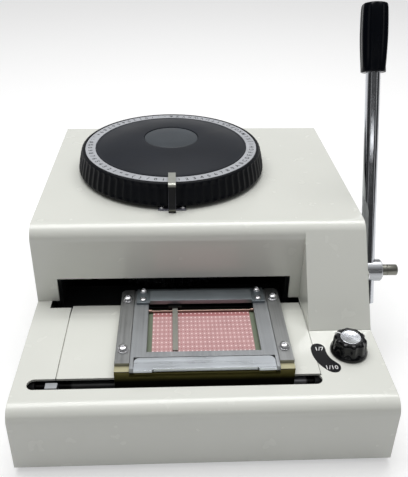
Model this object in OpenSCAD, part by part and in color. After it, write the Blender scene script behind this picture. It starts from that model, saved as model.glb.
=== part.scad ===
// Manual plastic card embosser. Millimetres, X to the right, Y to the back.
// Z = 0 is the underside of the base plate. The modules count Y from the
// casing's front apron; placed() moves the middle of the footprint to Y = 0.

/* [Casing] */
// Width of the casing
case_w = 300; // [296:1:312]
// Depth of the casing
case_d = 378; // [376:1:400]
// Height of the front deck
deck_h = 59; // [58:0.5:62]
// Height of the head's top
head_h = 136.5; // [136:0.5:150]
// Distance from the apron to the head's front wall
head_front = 136.5; // [136.5:0.5:139]
// Thickness of the painted sheet
sheet = 2; // [1.5:0.1:2.4]
// Outer radius of the bend between apron and deck
apron_bend = 12; // [6:1:18]
// Outer radius of the bend along the head's front edge
head_bend = 13.5; // [8:0.5:18]
// Thickness of the base plate
plate_t = 3; // [2:0.5:4]
// Diameter of the bolt hole in the middle of the base plate
bench_hole_d = 6.6; // [5.5:0.1:9]
// Diameter of the rubber feet
foot_d = 24; // [16:1:30]
// Height of the rubber feet
foot_h = 5; // [3:0.5:10]
// Distance of the feet from the casing's sides and ends
foot_inset = 27; // [18:1:40]

/* [Openings in the casing] */
// Left end of the long slot in the deck, from the middle
slot_left = -139; // [-141:0.5:-138.5]
// Right end of the long slot
slot_right = 94.4; // [93:0.2:96]
// Distance of the slot from the apron
slot_front = 23.7; // [20:0.1:25]
// Width of the slot
slot_w = 11.3; // [10.8:0.1:12]
// Place of the seam left of the deck plate
seam_x = -117.3; // [-120:0.1:-114]
// Width of that seam
seam_gap = 0.8; // [0.4:0.1:1.2]
// Distance of the deck's rear edge from the apron
deck_end = 126; // [124:0.5:127]
// Length of the deck plate's sloping rear lip
lip_l = 14.5; // [12:0.5:15]
// Drop of that lip
lip_drop = 2.4; // [1:0.1:3]
// Left end of the card mouth
mouth_left = -130.1; // [-132:0.1:-128]
// Right end of the card mouth
mouth_right = 84.6; // [83:0.1:86]
// Height of the card mouth above the deck
mouth_h = 24.6; // [23:0.1:28]

/* [Lever tower] */
// Left wall of the tower
tower_left = 94.8; // [94.6:0.1:96]
// Distance of the tower's foot from the apron
tower_front = 87.5; // [80:0.5:92]
// Distance of the lever shaft from the apron
lever_y = 162; // [160:0.5:164]
// Height of the lever shaft
lever_z = 71.5; // [70:0.5:74]
// Backward lean of the lever at rest
lever_lean = 22.3; // [10:0.1:30]
// Forward pull of the lever, in degrees
lever_pull = 75; // [60:1:80]
// Diameter of the lever shaft
shaft_d = 16; // [14:0.5:17]
// Diameter of the shaft's end stub
stub_d = 10.8; // [8:0.2:12]
// Diameter of the lever hub
hub_d = 21.5; // [20.5:0.5:26]
// Length of the lever hub
hub_l = 25.4; // [20:0.1:30]
// Diameter of the lever rod
rod_d = 13.7; // [10:0.1:15]
// Distance from the shaft to the grip
grip_start = 189.5; // [120:0.5:220]
// Length of the grip
grip_l = 63; // [50:1:90]
// Largest diameter of the grip
grip_d = 26.5; // [20:0.5:30]
// Thickness of the bearing plate on the side wall
lever_plate_t = 3; // [2:0.5:9]
// Depth of that bearing plate, front to back
lever_plate_d = 82; // [70:1:90]

/* [Type wheel] */
// Place of the wheel's axis, from the casing's middle
dial_x = -24.8; // [-26:0.1:-23]
// Distance of the wheel's axis from the apron
dial_y = 265.2; // [264.5:0.1:267]
// Outer radius of the hand rim at its foot
rim_r = 96; // [92:0.5:98]
// Gap between the rim and the head
rim_gap = 3.2; // [3:0.1:5]
// Height of the hand rim
rim_h = 22.4; // [20:0.1:26]
// Width of the flat on top of the rim
rim_flat = 1.5; // [1:0.1:3]
// Number of characters, flutes and notches
characters = 72; // [60:1:76]
// Width of the scale ring
ring_w = 10.4; // [8:0.1:12]
// Rise of the domed face above the ring
dome_rise = 8.4; // [6:0.1:10]
// Diameter of the centre badge
badge_d = 55; // [40:1:60]
// Radius of the circle of punches
punch_ring = 100; // [98:0.5:100.5]
// Diameter of a punch
punch_d = 4; // [3:0.1:4.2]
// Thickness of the punch wheel and of the die wheel
wheel_t = 8; // [6:0.5:9]
// Diameter of the wheel shaft
axle_d = 16; // [12:0.5:20]

/* [Press] */
// Stroke of the upper punch
punch_stroke = 2.6; // [1.5:0.1:3]
// Stroke of the lower die
die_stroke = 2.2; // [1:0.1:2.4]
// Diameter of the press ram and the anvil
ram_d = 12; // [10:0.5:13]
// Diameter of the press cams
cam_d = 30; // [28:0.5:31]
// Place of the rocker pins, from the casing's middle
rocker_x = 60; // [54:1:66]
// Width of the rockers
rocker_w = 14; // [10:0.5:16]
// Thickness of the side frames
frame_t = 6; // [4:0.5:7]
// Diameter of the screws that hold the cross plates
frame_screw_d = 5; // [4:0.5:6]

/* [Carriage] */
// Place of the carriage's centre line, from the casing's middle
carriage_x = 0.9; // [-1:0.1:2]
// Width over the carriage's arms
carriage_w = 143.8; // [142:0.2:145]
// Width of each arm
arm_w = 11.8; // [10:0.2:13]
// Thickness of the arms
arm_t = 3; // [2:0.1:4]
// Distance of the arms' front ends from the apron
arm_front = 39; // [38.6:0.2:44]
// Height of the carriage's top above the deck
carriage_rise = 11.5; // [11.4:0.1:12]
// Thickness of the formed tray
tray_t = 1.5; // [1:0.1:1.8]
// Diameter of the carriage rails
rail_d = 8; // [6:0.5:9]
// Letter spacing
pitch = 3.6286; // [2.4:0.0001:3.7]

/* [Card frame] */
// Length of a card
card_l = 85.6; // [80:0.1:87]
// Width of a card
card_w = 54; // [50:0.1:54.6]
// Thickness of a card
card_t = 0.8; // [0.5:0.1:1]
// Width of the window
window_w = 93.6; // [91:0.2:96]
// Front edge of the window, from the apron
window_front = 51.5; // [50:0.1:53]
// Rear end of the frame, from the apron
frame_end = 134; // [132:0.1:134.4]
// Height of the crossbar over the frame
crossbar_rise = 5.3; // [4:0.1:6]
// Front face of the crossbar, from the apron
crossbar_front = 112.5; // [112:0.1:114]
// Width of the line pointer's strip
pointer_w = 4.6; // [3:0.1:6]
// Depth of the clamp bar
clamp_depth = 14.7; // [12:0.1:14.9]
// Thickness of the clamp bar
clamp_t = 2.2; // [1.8:0.1:2.4]

/* [Selector] */
// Place of the selector knob, from the casing's middle
knob_x = 123.4; // [122:0.1:128]
// Distance of the knob from the apron
knob_y = 60.8; // [58:0.1:64]
// Diameter of the knob's skirt
knob_d = 31; // [28:0.1:36]
// Height of the knob
knob_h = 15.3; // [12:0.1:20]
// Middle radius of the curved label
label_r = 25.5; // [25:0.1:27.5]
// Width of the label
label_w = 12.2; // [9:0.1:12.4]

/* [Fits] */
// Radial clearance of a running fit
run = 0.05; // [0.02:0.01:0.08]
// Clearance between parts that slide past each other
slide = 0.3; // [0.2:0.05:0.5]
// Diameter of the casing's and the carriage's screws
screw_d = 4; // [3:0.1:4.4]
// Diameter of the card frame's screws
small_screw_d = 3; // [2:0.1:3.2]

/* [Hidden] */
$fn = 96;
eps = 0.01;
fixed = 0.02;

// Casing
case_x = case_w / 2;
wall_in = case_x - sheet;
plate_x = wall_in - 0.4;
flange_t = 2.5;
flange_h = 14;
slot_back = slot_front + slot_w;
ledge_left = slot_left + 2;
ledge_right = case_x - 4.5;
wheel_room = 1.5;
bay_right = tower_left - 0.2;
deck_fold = deck_end - 9;
upstand_t = 1.5;
upstand_h = 18;
low_screw_z = 8;
low_screw_y = [40, 190, 340];
high_screw_z = deck_h + 9;
high_screw_y = [240, 345];
screw_hole = screw_d / 2 + 0.2;
screw_tap = screw_d / 2 + run;
screw_reach = 2.5;

// Type wheel: hand dial on top, punch wheel and die wheel inside
axle_r = axle_d / 2;
rim_z = head_h + rim_gap;
rim_top_r = rim_r - 6;
ring_r = rim_top_r - rim_flat - 0.3;
ring_in = ring_r - ring_w;
ring_t = 2;
ring_top = rim_z + rim_h - 0.3;
rim_web = [8, 13];
badge_t = 2;
dome_top = ring_top + dome_rise;
step = 360 / characters;
punch_r = punch_d / 2;
wheel_r = punch_ring + punch_r + 1;
wheel_hub_r = 20;
strike_y = dial_y - punch_ring;
pin_head = [punch_r + 0.7, 2];
notch_r = 1.5;

// Heights that follow the card's plane
carriage_top = deck_h + carriage_rise;
card_z = carriage_top + 0.2;
punch_tip = card_z + card_t + punch_stroke - 0.1;
punch_wheel_z = punch_tip + 2;
punch_end = punch_wheel_z + wheel_t + punch_stroke + slide + pin_head[1];
die_tip = card_z - die_stroke + 0.1;
die_wheel_z = die_tip - 2 - wheel_t;
die_end = die_wheel_z - die_stroke - slide - pin_head[1];

// Heights above the punches: what the head leaves over is shared out
top_plate_t = 12;
ram_room = 6.6;
ear_rise = 7;
rocker_h = 10;
head_spare = head_h - sheet - slide - ear_rise - rocker_h / 2 - ram_room - top_plate_t - 0.5 - punch_end;
top_plate_low = punch_end + 0.5 + head_spare * 53 / 71;
top_plate_z = [top_plate_low, top_plate_low + top_plate_t];
rocker_top_z = top_plate_z[1] + ram_room + head_spare * 7 / 71;
frame_h = rocker_top_z - 2;

// Side frames and cross plates
ear_t = 5;
rocker_gap = 0.5;
mech_front = lever_y - rocker_w / 2 - rocker_gap - ear_t;
mech_back = 335;
frame_left = dial_x - wheel_r - 1.7;
frame_right = dial_x + wheel_r + 4.8;
low_plate_z = [28, 42];
bush_r = axle_r + 4;
bush_t = 3;
frame_hole = [216, 68];
frame_hole_r = 18;
frame_screw_y = [strike_y, dial_y - 9, dial_y + 9];
frame_screw_z = [(top_plate_z[0] + top_plate_z[1]) / 2, (low_plate_z[0] + low_plate_z[1]) / 2];
detent_r = 3;
detent_z = die_wheel_z + wheel_t / 2;

// Press: ram, anvil, rockers and the cams on the lever shaft
ram_r = ram_d / 2;
ram_head = [ram_r + 3, 3.6];
pin_r = 4;
rocker_nose = dial_x - 4;
rocker_low_z = 7;
pivot_top_z = rocker_top_z + rocker_h / 2;
pivot_low_z = rocker_low_z + rocker_h / 2;
// Ram and anvil end a stroke short of the pins, which leaves the wheels free
ram_z = [punch_end + punch_stroke + slide, rocker_top_z - slide];
anvil_z = [rocker_low_z + rocker_h + slide, die_end - die_stroke - slide];
leg_w = 12;
top_leg_x = 118;
low_leg_x = 136;
strike_arm = rocker_x - dial_x;
cam_r = cam_d / 2;
cam_w = low_leg_x - top_leg_x - 1;
half_pull = lever_pull / 2;
top_throw = punch_stroke * (top_leg_x - rocker_x) / strike_arm / (2 * sin(half_pull));
low_throw = die_stroke * (low_leg_x - rocker_x) / strike_arm / (2 * sin(half_pull));
top_leg_z = lever_z + cam_r - top_throw * sin(half_pull) + slide;
low_leg_z = lever_z - cam_r + low_throw * sin(half_pull) - slide;

// Lever
shaft_r = shaft_d / 2;
lever_bush_r = shaft_r + 3;
pedestal_x = [97, 106];
hub_x = [case_x + lever_plate_t + slide, case_x + lever_plate_t + slide + hub_l];
rod_r = rod_d / 2;
rod_x = (hub_x[0] + hub_x[1]) / 2;
rod_seat = shaft_r + 0.4;
rod_tail = 32;
stub_l = 16.6;
rod_in_grip = grip_l * 0.7;
lever_plate_y = [lever_y - lever_plate_d / 2, lever_y + lever_plate_d / 2];
lever_plate_z = [deck_h - 4, lever_z + 24.5];
lever_screw_y = [lever_plate_y[0] + 7, lever_plate_y[1] - 7];
lever_screw_z = [deck_h + 4.5, lever_plate_z[1] - 7];

// Dial pointer
pointer_x = dial_x + 0.65;
pointer_strip = 6.9;
pointer_t = 1.2;
pointer_bend = 3;
pointer_face = dial_y - rim_r - 5.6;
pointer_top = ring_top + 4;
pointer_screw_y = pointer_face + 7.9;
pointer_screw_dx = 9.8;
pointer_screw_d = 2.6;

// Carriage
arm_end = head_front - 0.5;
half_out = carriage_w / 2;
half_in = half_out - arm_w;
tray_top = carriage_top - arm_t;
tray_floor = deck_h + 1 + tray_t;
wall_y = [slot_back - 2.4, slot_back - 2.4 + tray_t];
wall_foot = deck_h - 17;
back_wall_y = [133.4, 133.4 + tray_t];
back_wall_foot = deck_h - 22;
arm_screw_dx = half_out - arm_w / 2;
arm_screw_y = [arm_front + 15.5, arm_end - 14.7];
arm_washer_t = 1.8;
rail_r = rail_d / 2;
front_rail_y = wall_y[1] + rail_r + 1.4;
front_rail_z = deck_h - 12;
front_rail_x = [slot_left - 2, slot_right + 2];
back_rail_y = back_wall_y[0] - rail_r - 0.4;
back_rail_z = deck_h - 16;
back_rail_x = [-137, 91];
bracket_w = 6;
boss_wall = 3;
block_w = 12;
front_block_x = [-31, 40];
back_block_x = [-49, 52];
rack_y = [front_rail_y + rail_r + boss_wall, front_rail_y + rail_r + boss_wall + 3];
rack_z = [front_rail_z - rail_r - 1, front_rail_z + rail_r];
tooth_h = 1.6;
teeth = floor(2 * half_in / pitch);
stop_rail_t = 3;
stop_rail_h = 8;
stop_rail_y = [slot_back - 4.6 - stop_rail_t, slot_back - 4.6];
stop_rail_z = [deck_h - 11 - stop_rail_h, deck_h - 11];
stop_x = -120;
stop_w = 9.4;
pawl_x = 0;
pawl_z = rack_z[0] - 8;
pawl_reach = 18;

// Card frame
frame_x = half_in - slide;
plate_low = carriage_top - 3;
frame_low = tray_floor + slide;
side_in = window_w / 2 + 3.6;
front_bar = window_front - 6;
clamp_y = [front_bar - 0.6 - clamp_depth, front_bar - 0.6];
clamp_x = frame_x - 3.3;
clamp_axis = [clamp_y[0] + 4.3, carriage_top - 1.9];
trunnion_r = 1.2;
crossbar_z = [carriage_top + 1.1, carriage_top + crossbar_rise];
crossbar_x = window_w / 2 - 1;
crossbar_back = frame_end - 6.5;
tab_x = frame_x - 2;
tab_top = crossbar_z[0] + 1.1;
tab_front = crossbar_front + 1.5;
cross_screw_dx = (crossbar_x + tab_x) / 2;
cross_screw_y = [frame_end - 15.7, frame_end - 4.2];
guide_y = [crossbar_front - 1.5, crossbar_front + 1.5];
guide_z = [carriage_top - 3.5, carriage_top - 1.5];
wire_y = crossbar_front - 4.9;
wire_z = carriage_top - 3;
wire_r = 0.9;
button_r = 1.5;
jaw_y = [crossbar_front + 2.9, crossbar_front + 10.5];
jaw_z = [carriage_top - 2.7, carriage_top - 0.1];
window_end = jaw_y[1] + 0.6;
sheet_t = 0.3;
sheet_z = carriage_top - 4.5;
bed_t = 3;
line_x = dial_x + pointer_w / 2;
slider_w = 11.8;

// Selector
knob_z = deck_h + slide;
knob_top = deck_h + knob_h;
stem_r = 3;
cap_r = knob_d / 2 - 7;
cap_t = 1;
label_t = 0.6;
label_arc = [172, 228];
stem_low = deck_h - 21;

module placed() {
    translate([0, -case_d / 2, 0]) children();
}

// Round bars along X, Y or Z, each between two ends
module bar_x(r, x, y, z) {
    translate([x[0], y, z]) rotate([0, 90, 0]) cylinder(r = r, h = x[1] - x[0]);
}

module bar_y(r, x, y, z) {
    translate([x, y[0], z]) rotate([-90, 0, 0]) cylinder(r = r, h = y[1] - y[0]);
}

module bar_z(r, x, y, z) {
    translate([x, y, z[0]]) cylinder(r = r, h = z[1] - z[0]);
}

// Box from its three intervals
module box(x, y, z) {
    translate([x[0], y[0], z[0]]) cube([x[1] - x[0], y[1] - y[0], z[1] - z[0]]);
}

// Profile drawn in Y and Z, extruded along X
module along_x(x) {
    translate([x[0], 0, 0]) rotate([90, 0, 90]) linear_extrude(height = x[1] - x[0]) children();
}

// The same interval, longer by a margin at both ends
function past(span, margin = 1) = [span[0] - margin, span[1] + margin];
// The interval on the left (side -1) or right (side 1) of the centre line
function on_side(side, near, far) = side > 0 ? [near, far] : [-far, -near];

// Pan-head screw with a cross recess: head above z = 0, shank below
module pan_screw(d, shank) {
    head_r = d * 0.95;
    head_h = d * 0.6;
    difference() {
        union() {
            cylinder(r = head_r, h = head_h / 2);
            translate([0, 0, head_h / 2]) cylinder(r1 = head_r, r2 = head_r * 0.72, h = head_h / 2);
            translate([0, 0, -shank]) cylinder(r = d / 2, h = shank + eps);
        }
        for (turn = [0, 90])
            rotate([0, 0, turn]) translate([-head_r * 0.55, -d * 0.1, head_h * 0.45])
                cube([head_r * 1.1, d * 0.2, head_h]);
    }
}

module washer(bore, outer, thick) {
    difference() {
        cylinder(r = outer, h = thick);
        translate([0, 0, -1]) cylinder(r = bore, h = thick + 2);
    }
}

// Side profile of a folded sheet: walls in front and behind, bends on top
module fold_profile(front, low, top, bend, back_bend, inset) {
    translate([front + inset, low]) square([bend, top - bend - low]);
    translate([front + bend, low]) square([case_d - front - bend - back_bend, top - inset - low]);
    translate([case_d - inset - back_bend, low]) square([back_bend, top - back_bend - low]);
    translate([front + bend, top - bend]) circle(r = bend - inset);
    translate([case_d - back_bend, top - back_bend]) circle(r = back_bend - inset);
}

module base_profile(inset) {
    fold_profile(0, inset > 0 ? -1 : 0, deck_h, apron_bend, sheet + 1, inset);
}

module head_profile(inset) {
    fold_profile(head_front, deck_h - (inset > 0 ? 1 : 0), head_h, head_bend, sheet + 1, inset);
}

// Side profile of the lever tower: its face leaves the deck and runs into
// the head's front bend as a tangent
module tower_profile(inset) {
    centre = [head_front + head_bend, head_h - head_bend];
    run_in = [centre[0] - tower_front, centre[1] - deck_h];
    slope = atan2(run_in[1], run_in[0]) + asin(head_bend / norm(run_in));
    tangent = centre + (head_bend - inset) * [-sin(slope), cos(slope)];
    drop = inset > 0 ? 2 : 0;
    foot = [tower_front + inset / sin(slope) - drop / tan(slope), deck_h - drop];
    polygon([
        foot, tangent, centre, [centre[0], head_h - inset],
        [centre[0] + 20, head_h - inset], [centre[0] + 20, deck_h - drop]
    ]);
    translate(centre) circle(r = head_bend - inset);
}

module base_plate() placed() color([0.45, 0.46, 0.47]) {
    cheek = [3, pawl_z + 4];
    difference() {
        union() {
            box([-plate_x, plate_x], [sheet + 0.4, case_d - sheet - 0.4], [0, plate_t]);
            for (side = [-1, 1])
                box(on_side(side, plate_x - flange_t, plate_x), [20, case_d - 20], [0, flange_h]);
            // two cheeks that carry the spacing pawl
            for (y = [rack_y[0] - cheek[0] - 0.5, rack_y[1] + 0.5])
                box([pawl_x - 4, pawl_x + 4], [y, y + cheek[0]], [0, cheek[1]]);
        }
        for (x = [-1, 1], y = [foot_inset, case_d - foot_inset])
            bar_z(4 + run, x * (case_x - foot_inset), y, [-1, plate_t + 1]);
        bar_z(bench_hole_d / 2, 0, case_d / 2, [-1, plate_t + 1]);
        for (side = [-1, 1], y = low_screw_y)
            bar_x(screw_tap, past(on_side(side, plate_x - flange_t, plate_x)), y, low_screw_z);
        bar_y(trunnion_r + run, pawl_x, past(rack_y, 6), pawl_z);
    }
}

module rubber_feet() placed() color([0.08, 0.08, 0.08])
    for (x = [-1, 1], y = [foot_inset, case_d - foot_inset])
        translate([x * (case_x - foot_inset), y, 0]) {
            translate([0, 0, -foot_h]) cylinder(r1 = foot_d / 2 - 1.5, r2 = foot_d / 2, h = foot_h);
            cylinder(r = 4, h = plate_t);
        }

module base_casing() placed() color([0.87, 0.88, 0.85]) {
    deck_cut = [deck_h - 5, deck_h + 5];
    slot_r = slot_w / 2;
    ledge_y = [slot_back + 3, deck_fold - 3];
    ledge_z = [deck_h - 2 * sheet, deck_h - sheet];
    weld_z = [ledge_z[0], ledge_z[1] + eps];
    difference() {
        union() {
            difference() {
                along_x([-case_x, case_x]) base_profile(0);
                along_x([-wall_in, wall_in]) base_profile(sheet);
                // slot with round ends
                for (x = [slot_left + slot_r, slot_right - slot_r])
                    bar_z(slot_r, x, slot_front + slot_r, deck_cut);
                box([slot_left + slot_r, slot_right - slot_r], [slot_front, slot_back], deck_cut);
                // bay of the deck plate and the gap behind the deck
                box([seam_x - seam_gap / 2, bay_right], [slot_back - 2, deck_end + 1], deck_cut);
                box([ledge_left, bay_right], [deck_end, head_front + 4], deck_cut);
                // below the tower and below the head
                box([tower_left + 4, ledge_right], [tower_front + 12.5, head_front + 4], deck_cut);
                box([ledge_left, ledge_right], [head_front + 3, dial_y + wheel_r + wheel_room], deck_cut);
            }
            // ledges under both sides of the deck plate
            box([seam_x - 5, seam_x + 8], ledge_y, ledge_z);
            box([tower_left - 7, tower_left + 4], ledge_y, ledge_z);
            // where they are welded to the deck
            box([seam_x - 5, seam_x - seam_gap / 2], ledge_y, weld_z);
            box([bay_right, tower_left + 4], ledge_y, weld_z);
            // upstands that the head's side walls are screwed to
            for (side = [-1, 1])
                box(on_side(side, wall_in - slide - upstand_t, wall_in - slide),
                    [high_screw_y[0] - 15, high_screw_y[1] + 15], [deck_h - eps, deck_h + upstand_h]);
        }
        for (side = [-1, 1], y = low_screw_y)
            bar_x(screw_hole, past(on_side(side, wall_in, case_x)), y, low_screw_z);
        for (side = [-1, 1], y = high_screw_y)
            bar_x(screw_tap, past(on_side(side, wall_in - slide - upstand_t, wall_in)), y, high_screw_z);
        bar_z(stem_r + run, knob_x, knob_y, deck_cut);
    }
}

module deck_plate() placed() color([0.88, 0.89, 0.86])
    along_x([seam_x + seam_gap / 2, tower_left - 0.6]) polygon([
        [slot_back, deck_h - sheet], [deck_fold, deck_h - sheet],
        [deck_fold + lip_l, deck_h - sheet - lip_drop], [deck_fold + lip_l, deck_h - lip_drop],
        [deck_fold, deck_h], [slot_back, deck_h]
    ]);

module head_cover() placed() color([0.87, 0.88, 0.85]) difference() {
    union() {
        along_x([-case_x, case_x]) head_profile(0);
        along_x([tower_left, case_x]) tower_profile(0);
    }
    along_x([-wall_in, wall_in]) head_profile(sheet);
    along_x([tower_left + sheet, wall_in]) tower_profile(sheet);
    box([mouth_left, mouth_right], past([head_front, head_front + sheet]), [deck_h - 1, deck_h + mouth_h]);
    bar_z(axle_r + 5, dial_x, dial_y, past([head_h - sheet, head_h]));
    bar_x(lever_bush_r, past([wall_in, case_x]), lever_y, lever_z);
    for (y = lever_screw_y, z = lever_screw_z)
        bar_x(screw_tap, past([wall_in, case_x]), y, z);
    for (side = [-1, 1], y = high_screw_y)
        bar_x(screw_hole, past(on_side(side, wall_in, case_x)), y, high_screw_z);
    for (dx = [-1, 1])
        bar_z(pointer_screw_d / 2 + run, pointer_x + dx * pointer_screw_dx, pointer_screw_y,
            past([head_h - sheet, head_h]));
}

// A pan-head screw driven into the side wall from outside
module side_screw(side, x, y, z, shank) {
    translate([side * x, y, z]) rotate([0, side * 90, 0]) pan_screw(screw_d, shank);
}

module casing_screws() placed() color([0.75, 0.75, 0.76]) {
    for (side = [-1, 1]) {
        for (y = low_screw_y)
            side_screw(side, case_x, y, low_screw_z, sheet + screw_reach);
        for (y = high_screw_y)
            side_screw(side, case_x, y, high_screw_z, sheet + screw_reach);
    }
    for (y = lever_screw_y, z = lever_screw_z)
        side_screw(1, case_x + lever_plate_t, y, z, lever_plate_t + sheet + 1);
    for (dx = [-1, 1])
        translate([pointer_x + dx * pointer_screw_dx, pointer_screw_y, head_h + pointer_t])
            pan_screw(pointer_screw_d, pointer_t + sheet);
}

// One upright frame, its lower front corner open for the rocker
module side_frame(x) {
    difference() {
        union() {
            box(x, [mech_front, mech_back], [plate_t, frame_h]);
            box([x[1] - eps, x[1] + 15], [205, mech_back - 15], [plate_t, plate_t + 6]);
        }
        bar_x(frame_hole_r, past(x), frame_hole[0], frame_hole[1]);
        box(past(x), [mech_front - 1, lever_y + rocker_w / 2 + ear_t],
            [plate_t - 1, rocker_low_z + rocker_h + 6]);
        for (y = frame_screw_y, z = frame_screw_z)
            bar_x(frame_screw_d / 2 + slide, past(x), y, z);
    }
}

module side_frames() placed() color([0.40, 0.42, 0.44]) {
    side_frame([frame_left - frame_t, frame_left]);
    difference() {
        side_frame([frame_right, frame_right + frame_t]);
        bar_x(detent_r + run, past([frame_right, frame_right + frame_t]), dial_y, detent_z);
    }
}

// Plate in the shape of an H: a beam at the strike, a beam at the wheel
// shaft and a spine between them
module cross_plate(z, ear_z, pivot_z) {
    difference() {
        union() {
            box([frame_left, frame_right], [mech_front, strike_y + 18], z);
            box([frame_left, frame_right], [dial_y - 18, dial_y + 18], z);
            box([dial_x - 18, dial_x + 18], [strike_y, dial_y], z);
            for (y = [mech_front, lever_y + rocker_w / 2 + rocker_gap])
                box([rocker_x - 8, rocker_x + 8], [y, y + ear_t], ear_z);
        }
        bar_z(ram_r + run, dial_x, strike_y, past(z));
        bar_z(bush_r, dial_x, dial_y, past(z));
        bar_y(pin_r + run, rocker_x, [mech_front - 1, lever_y + 30], pivot_z);
        for (y = frame_screw_y)
            for (x = [[frame_left - 1, frame_left + 14], [frame_right - 14, frame_right + 1]])
                bar_x(frame_screw_d / 2 + run, x, y, (z[0] + z[1]) / 2);
    }
}

module top_plate() placed() color([0.36, 0.38, 0.40])
    cross_plate(top_plate_z, [top_plate_z[0], pivot_top_z + ear_rise], pivot_top_z);

module lower_plate() placed() color([0.36, 0.38, 0.40])
    cross_plate(low_plate_z, [pivot_low_z - ear_rise, low_plate_z[1]], pivot_low_z);

module frame_screws() placed() color([0.25, 0.25, 0.26])
    for (y = frame_screw_y, z = frame_screw_z) {
        translate([frame_left - frame_t, y, z]) rotate([0, -90, 0])
            pan_screw(frame_screw_d, frame_t + 12);
        translate([frame_right + frame_t, y, z]) rotate([0, 90, 0])
            pan_screw(frame_screw_d, frame_t + 12);
    }

// Bush with its flange below z = 0
module bush(outer, bore, long, flange) {
    difference() {
        union() {
            cylinder(r = outer, h = long);
            translate([0, 0, -bush_t]) cylinder(r = outer + flange, h = bush_t);
        }
        translate([0, 0, -bush_t - 1]) cylinder(r = bore, h = long + bush_t + 2);
    }
}

module bronze_bushes() placed() color([0.72, 0.53, 0.28]) {
    translate([dial_x, dial_y, top_plate_z[0]])
        bush(bush_r, axle_r + run, top_plate_z[1] - top_plate_z[0], 3);
    translate([dial_x, dial_y, low_plate_z[1]]) rotate([180, 0, 0])
        bush(bush_r, axle_r + run, low_plate_z[1] - low_plate_z[0], 3);
    translate([wall_in, lever_y, lever_z]) rotate([0, 90, 0])
        washer(shaft_r + run, lever_bush_r, sheet + lever_plate_t);
    translate([pedestal_x[1], lever_y, lever_z]) rotate([0, -90, 0])
        bush(lever_bush_r, shaft_r + run, pedestal_x[1] - pedestal_x[0], 2);
}

module carriage_rails() placed() color([0.80, 0.81, 0.82]) {
    bar_x(rail_r, front_rail_x, front_rail_y, front_rail_z);
    bar_x(rail_r, back_rail_x, back_rail_y, back_rail_z);
}

// Post on the base plate that holds one end of a rail
module rail_post(x, y, z) {
    difference() {
        union() {
            box([x, x + bracket_w], [y - 5, y + 5], [plate_t, z]);
            bar_x(rail_r + boss_wall, [x, x + bracket_w], y, z);
            box([x, x + bracket_w], [y - 5, y + 14], [plate_t, plate_t + 5]);
        }
        bar_x(rail_r + fixed, past([x, x + bracket_w]), y, z);
    }
}

module rail_brackets() placed() color([0.42, 0.43, 0.44]) {
    for (x = [front_rail_x[0], front_rail_x[1] - bracket_w])
        rail_post(x, front_rail_y, front_rail_z);
    for (x = [back_rail_x[0], back_rail_x[1] - bracket_w])
        rail_post(x, back_rail_y, back_rail_z);
}

module stop_rail() placed() color([0.55, 0.56, 0.57]) {
    box(front_rail_x, stop_rail_y, stop_rail_z);
    for (x = [front_rail_x[0], front_rail_x[1] - bracket_w])
        box([x, x + bracket_w], [stop_rail_y[0] - 4, stop_rail_y[1]], [plate_t, stop_rail_z[1]]);
}

module lever_plate() placed() color([0.80, 0.81, 0.78]) difference() {
    box([case_x, case_x + lever_plate_t], lever_plate_y, lever_plate_z);
    bar_x(lever_bush_r, past([case_x, case_x + lever_plate_t]), lever_y, lever_z);
    for (y = lever_screw_y, z = lever_screw_z)
        bar_x(screw_hole, past([case_x, case_x + lever_plate_t]), y, z);
}

module lever_pedestal() placed() color([0.36, 0.38, 0.40]) {
    flange_x = [pedestal_x[0] - 4, pedestal_x[1] + 10];
    half_d = 20;
    foot_d = 16;
    foot_y = half_d + 6;
    arch = 11;
    difference() {
        union() {
            box(pedestal_x, [lever_y - half_d, lever_y + half_d], [plate_t, lever_z]);
            bar_x(half_d, pedestal_x, lever_y, lever_z);
            for (y = [lever_y - foot_y, lever_y + foot_y])
                box(flange_x, [y - foot_d / 2, y + foot_d / 2], [plate_t, plate_t + 6]);
        }
        bar_x(lever_bush_r, past(pedestal_x), lever_y, lever_z);
        // arch for the lower rocker
        box(past(pedestal_x), [lever_y - arch, lever_y + arch], [plate_t - 1, rocker_low_z + rocker_h + 6]);
    }
}

module rocker_pins() placed() color([0.75, 0.75, 0.76])
    for (z = [pivot_top_z, pivot_low_z])
        bar_y(pin_r, rocker_x, [mech_front, 2 * lever_y - mech_front], z);

// Strip in front of the rim, bent over its top, on a foot screwed down
module dial_pointer() placed() color([0.78, 0.78, 0.76]) difference() {
    union() {
        along_x([pointer_x - pointer_strip / 2, pointer_x + pointer_strip / 2]) {
            translate([pointer_face, head_h]) square([12, pointer_t]);
            translate([pointer_face, head_h]) square([pointer_t, pointer_top - pointer_bend - head_h]);
            translate([pointer_face + pointer_bend, pointer_top - pointer_t]) square([22, pointer_t]);
            translate([pointer_face + pointer_bend, pointer_top - pointer_bend]) intersection() {
                difference() {
                    circle(r = pointer_bend);
                    circle(r = pointer_bend - pointer_t);
                }
                translate([-pointer_bend, 0]) square(pointer_bend);
            }
        }
        box([pointer_x - 13, pointer_x + 13], [pointer_screw_y - 3.5, pointer_screw_y + 4],
            [head_h, head_h + pointer_t]);
    }
    for (dx = [-1, 1])
        bar_z(pointer_screw_d / 2 + run, pointer_x + dx * pointer_screw_dx, pointer_screw_y,
            past([head_h, head_h + pointer_t]));
}

// Curved label with round ends, about the knob
module pitch_label() placed() color([0.06, 0.06, 0.07])
    translate([knob_x, knob_y, deck_h]) linear_extrude(height = label_t) {
        far = 2 * label_r;
        difference() {
            circle(r = label_r + label_w / 2);
            circle(r = label_r - label_w / 2);
            rotate(label_arc[1]) translate([-far, 0]) square([2 * far, far]);
            rotate(label_arc[0]) translate([-far, -far]) square([2 * far, far]);
        }
        for (angle = label_arc)
            rotate(angle) translate([label_r, 0]) circle(r = label_w / 2 - 0.2);
    }

module about_dial(z) {
    placed() translate([dial_x, dial_y, z]) children();
}

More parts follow.
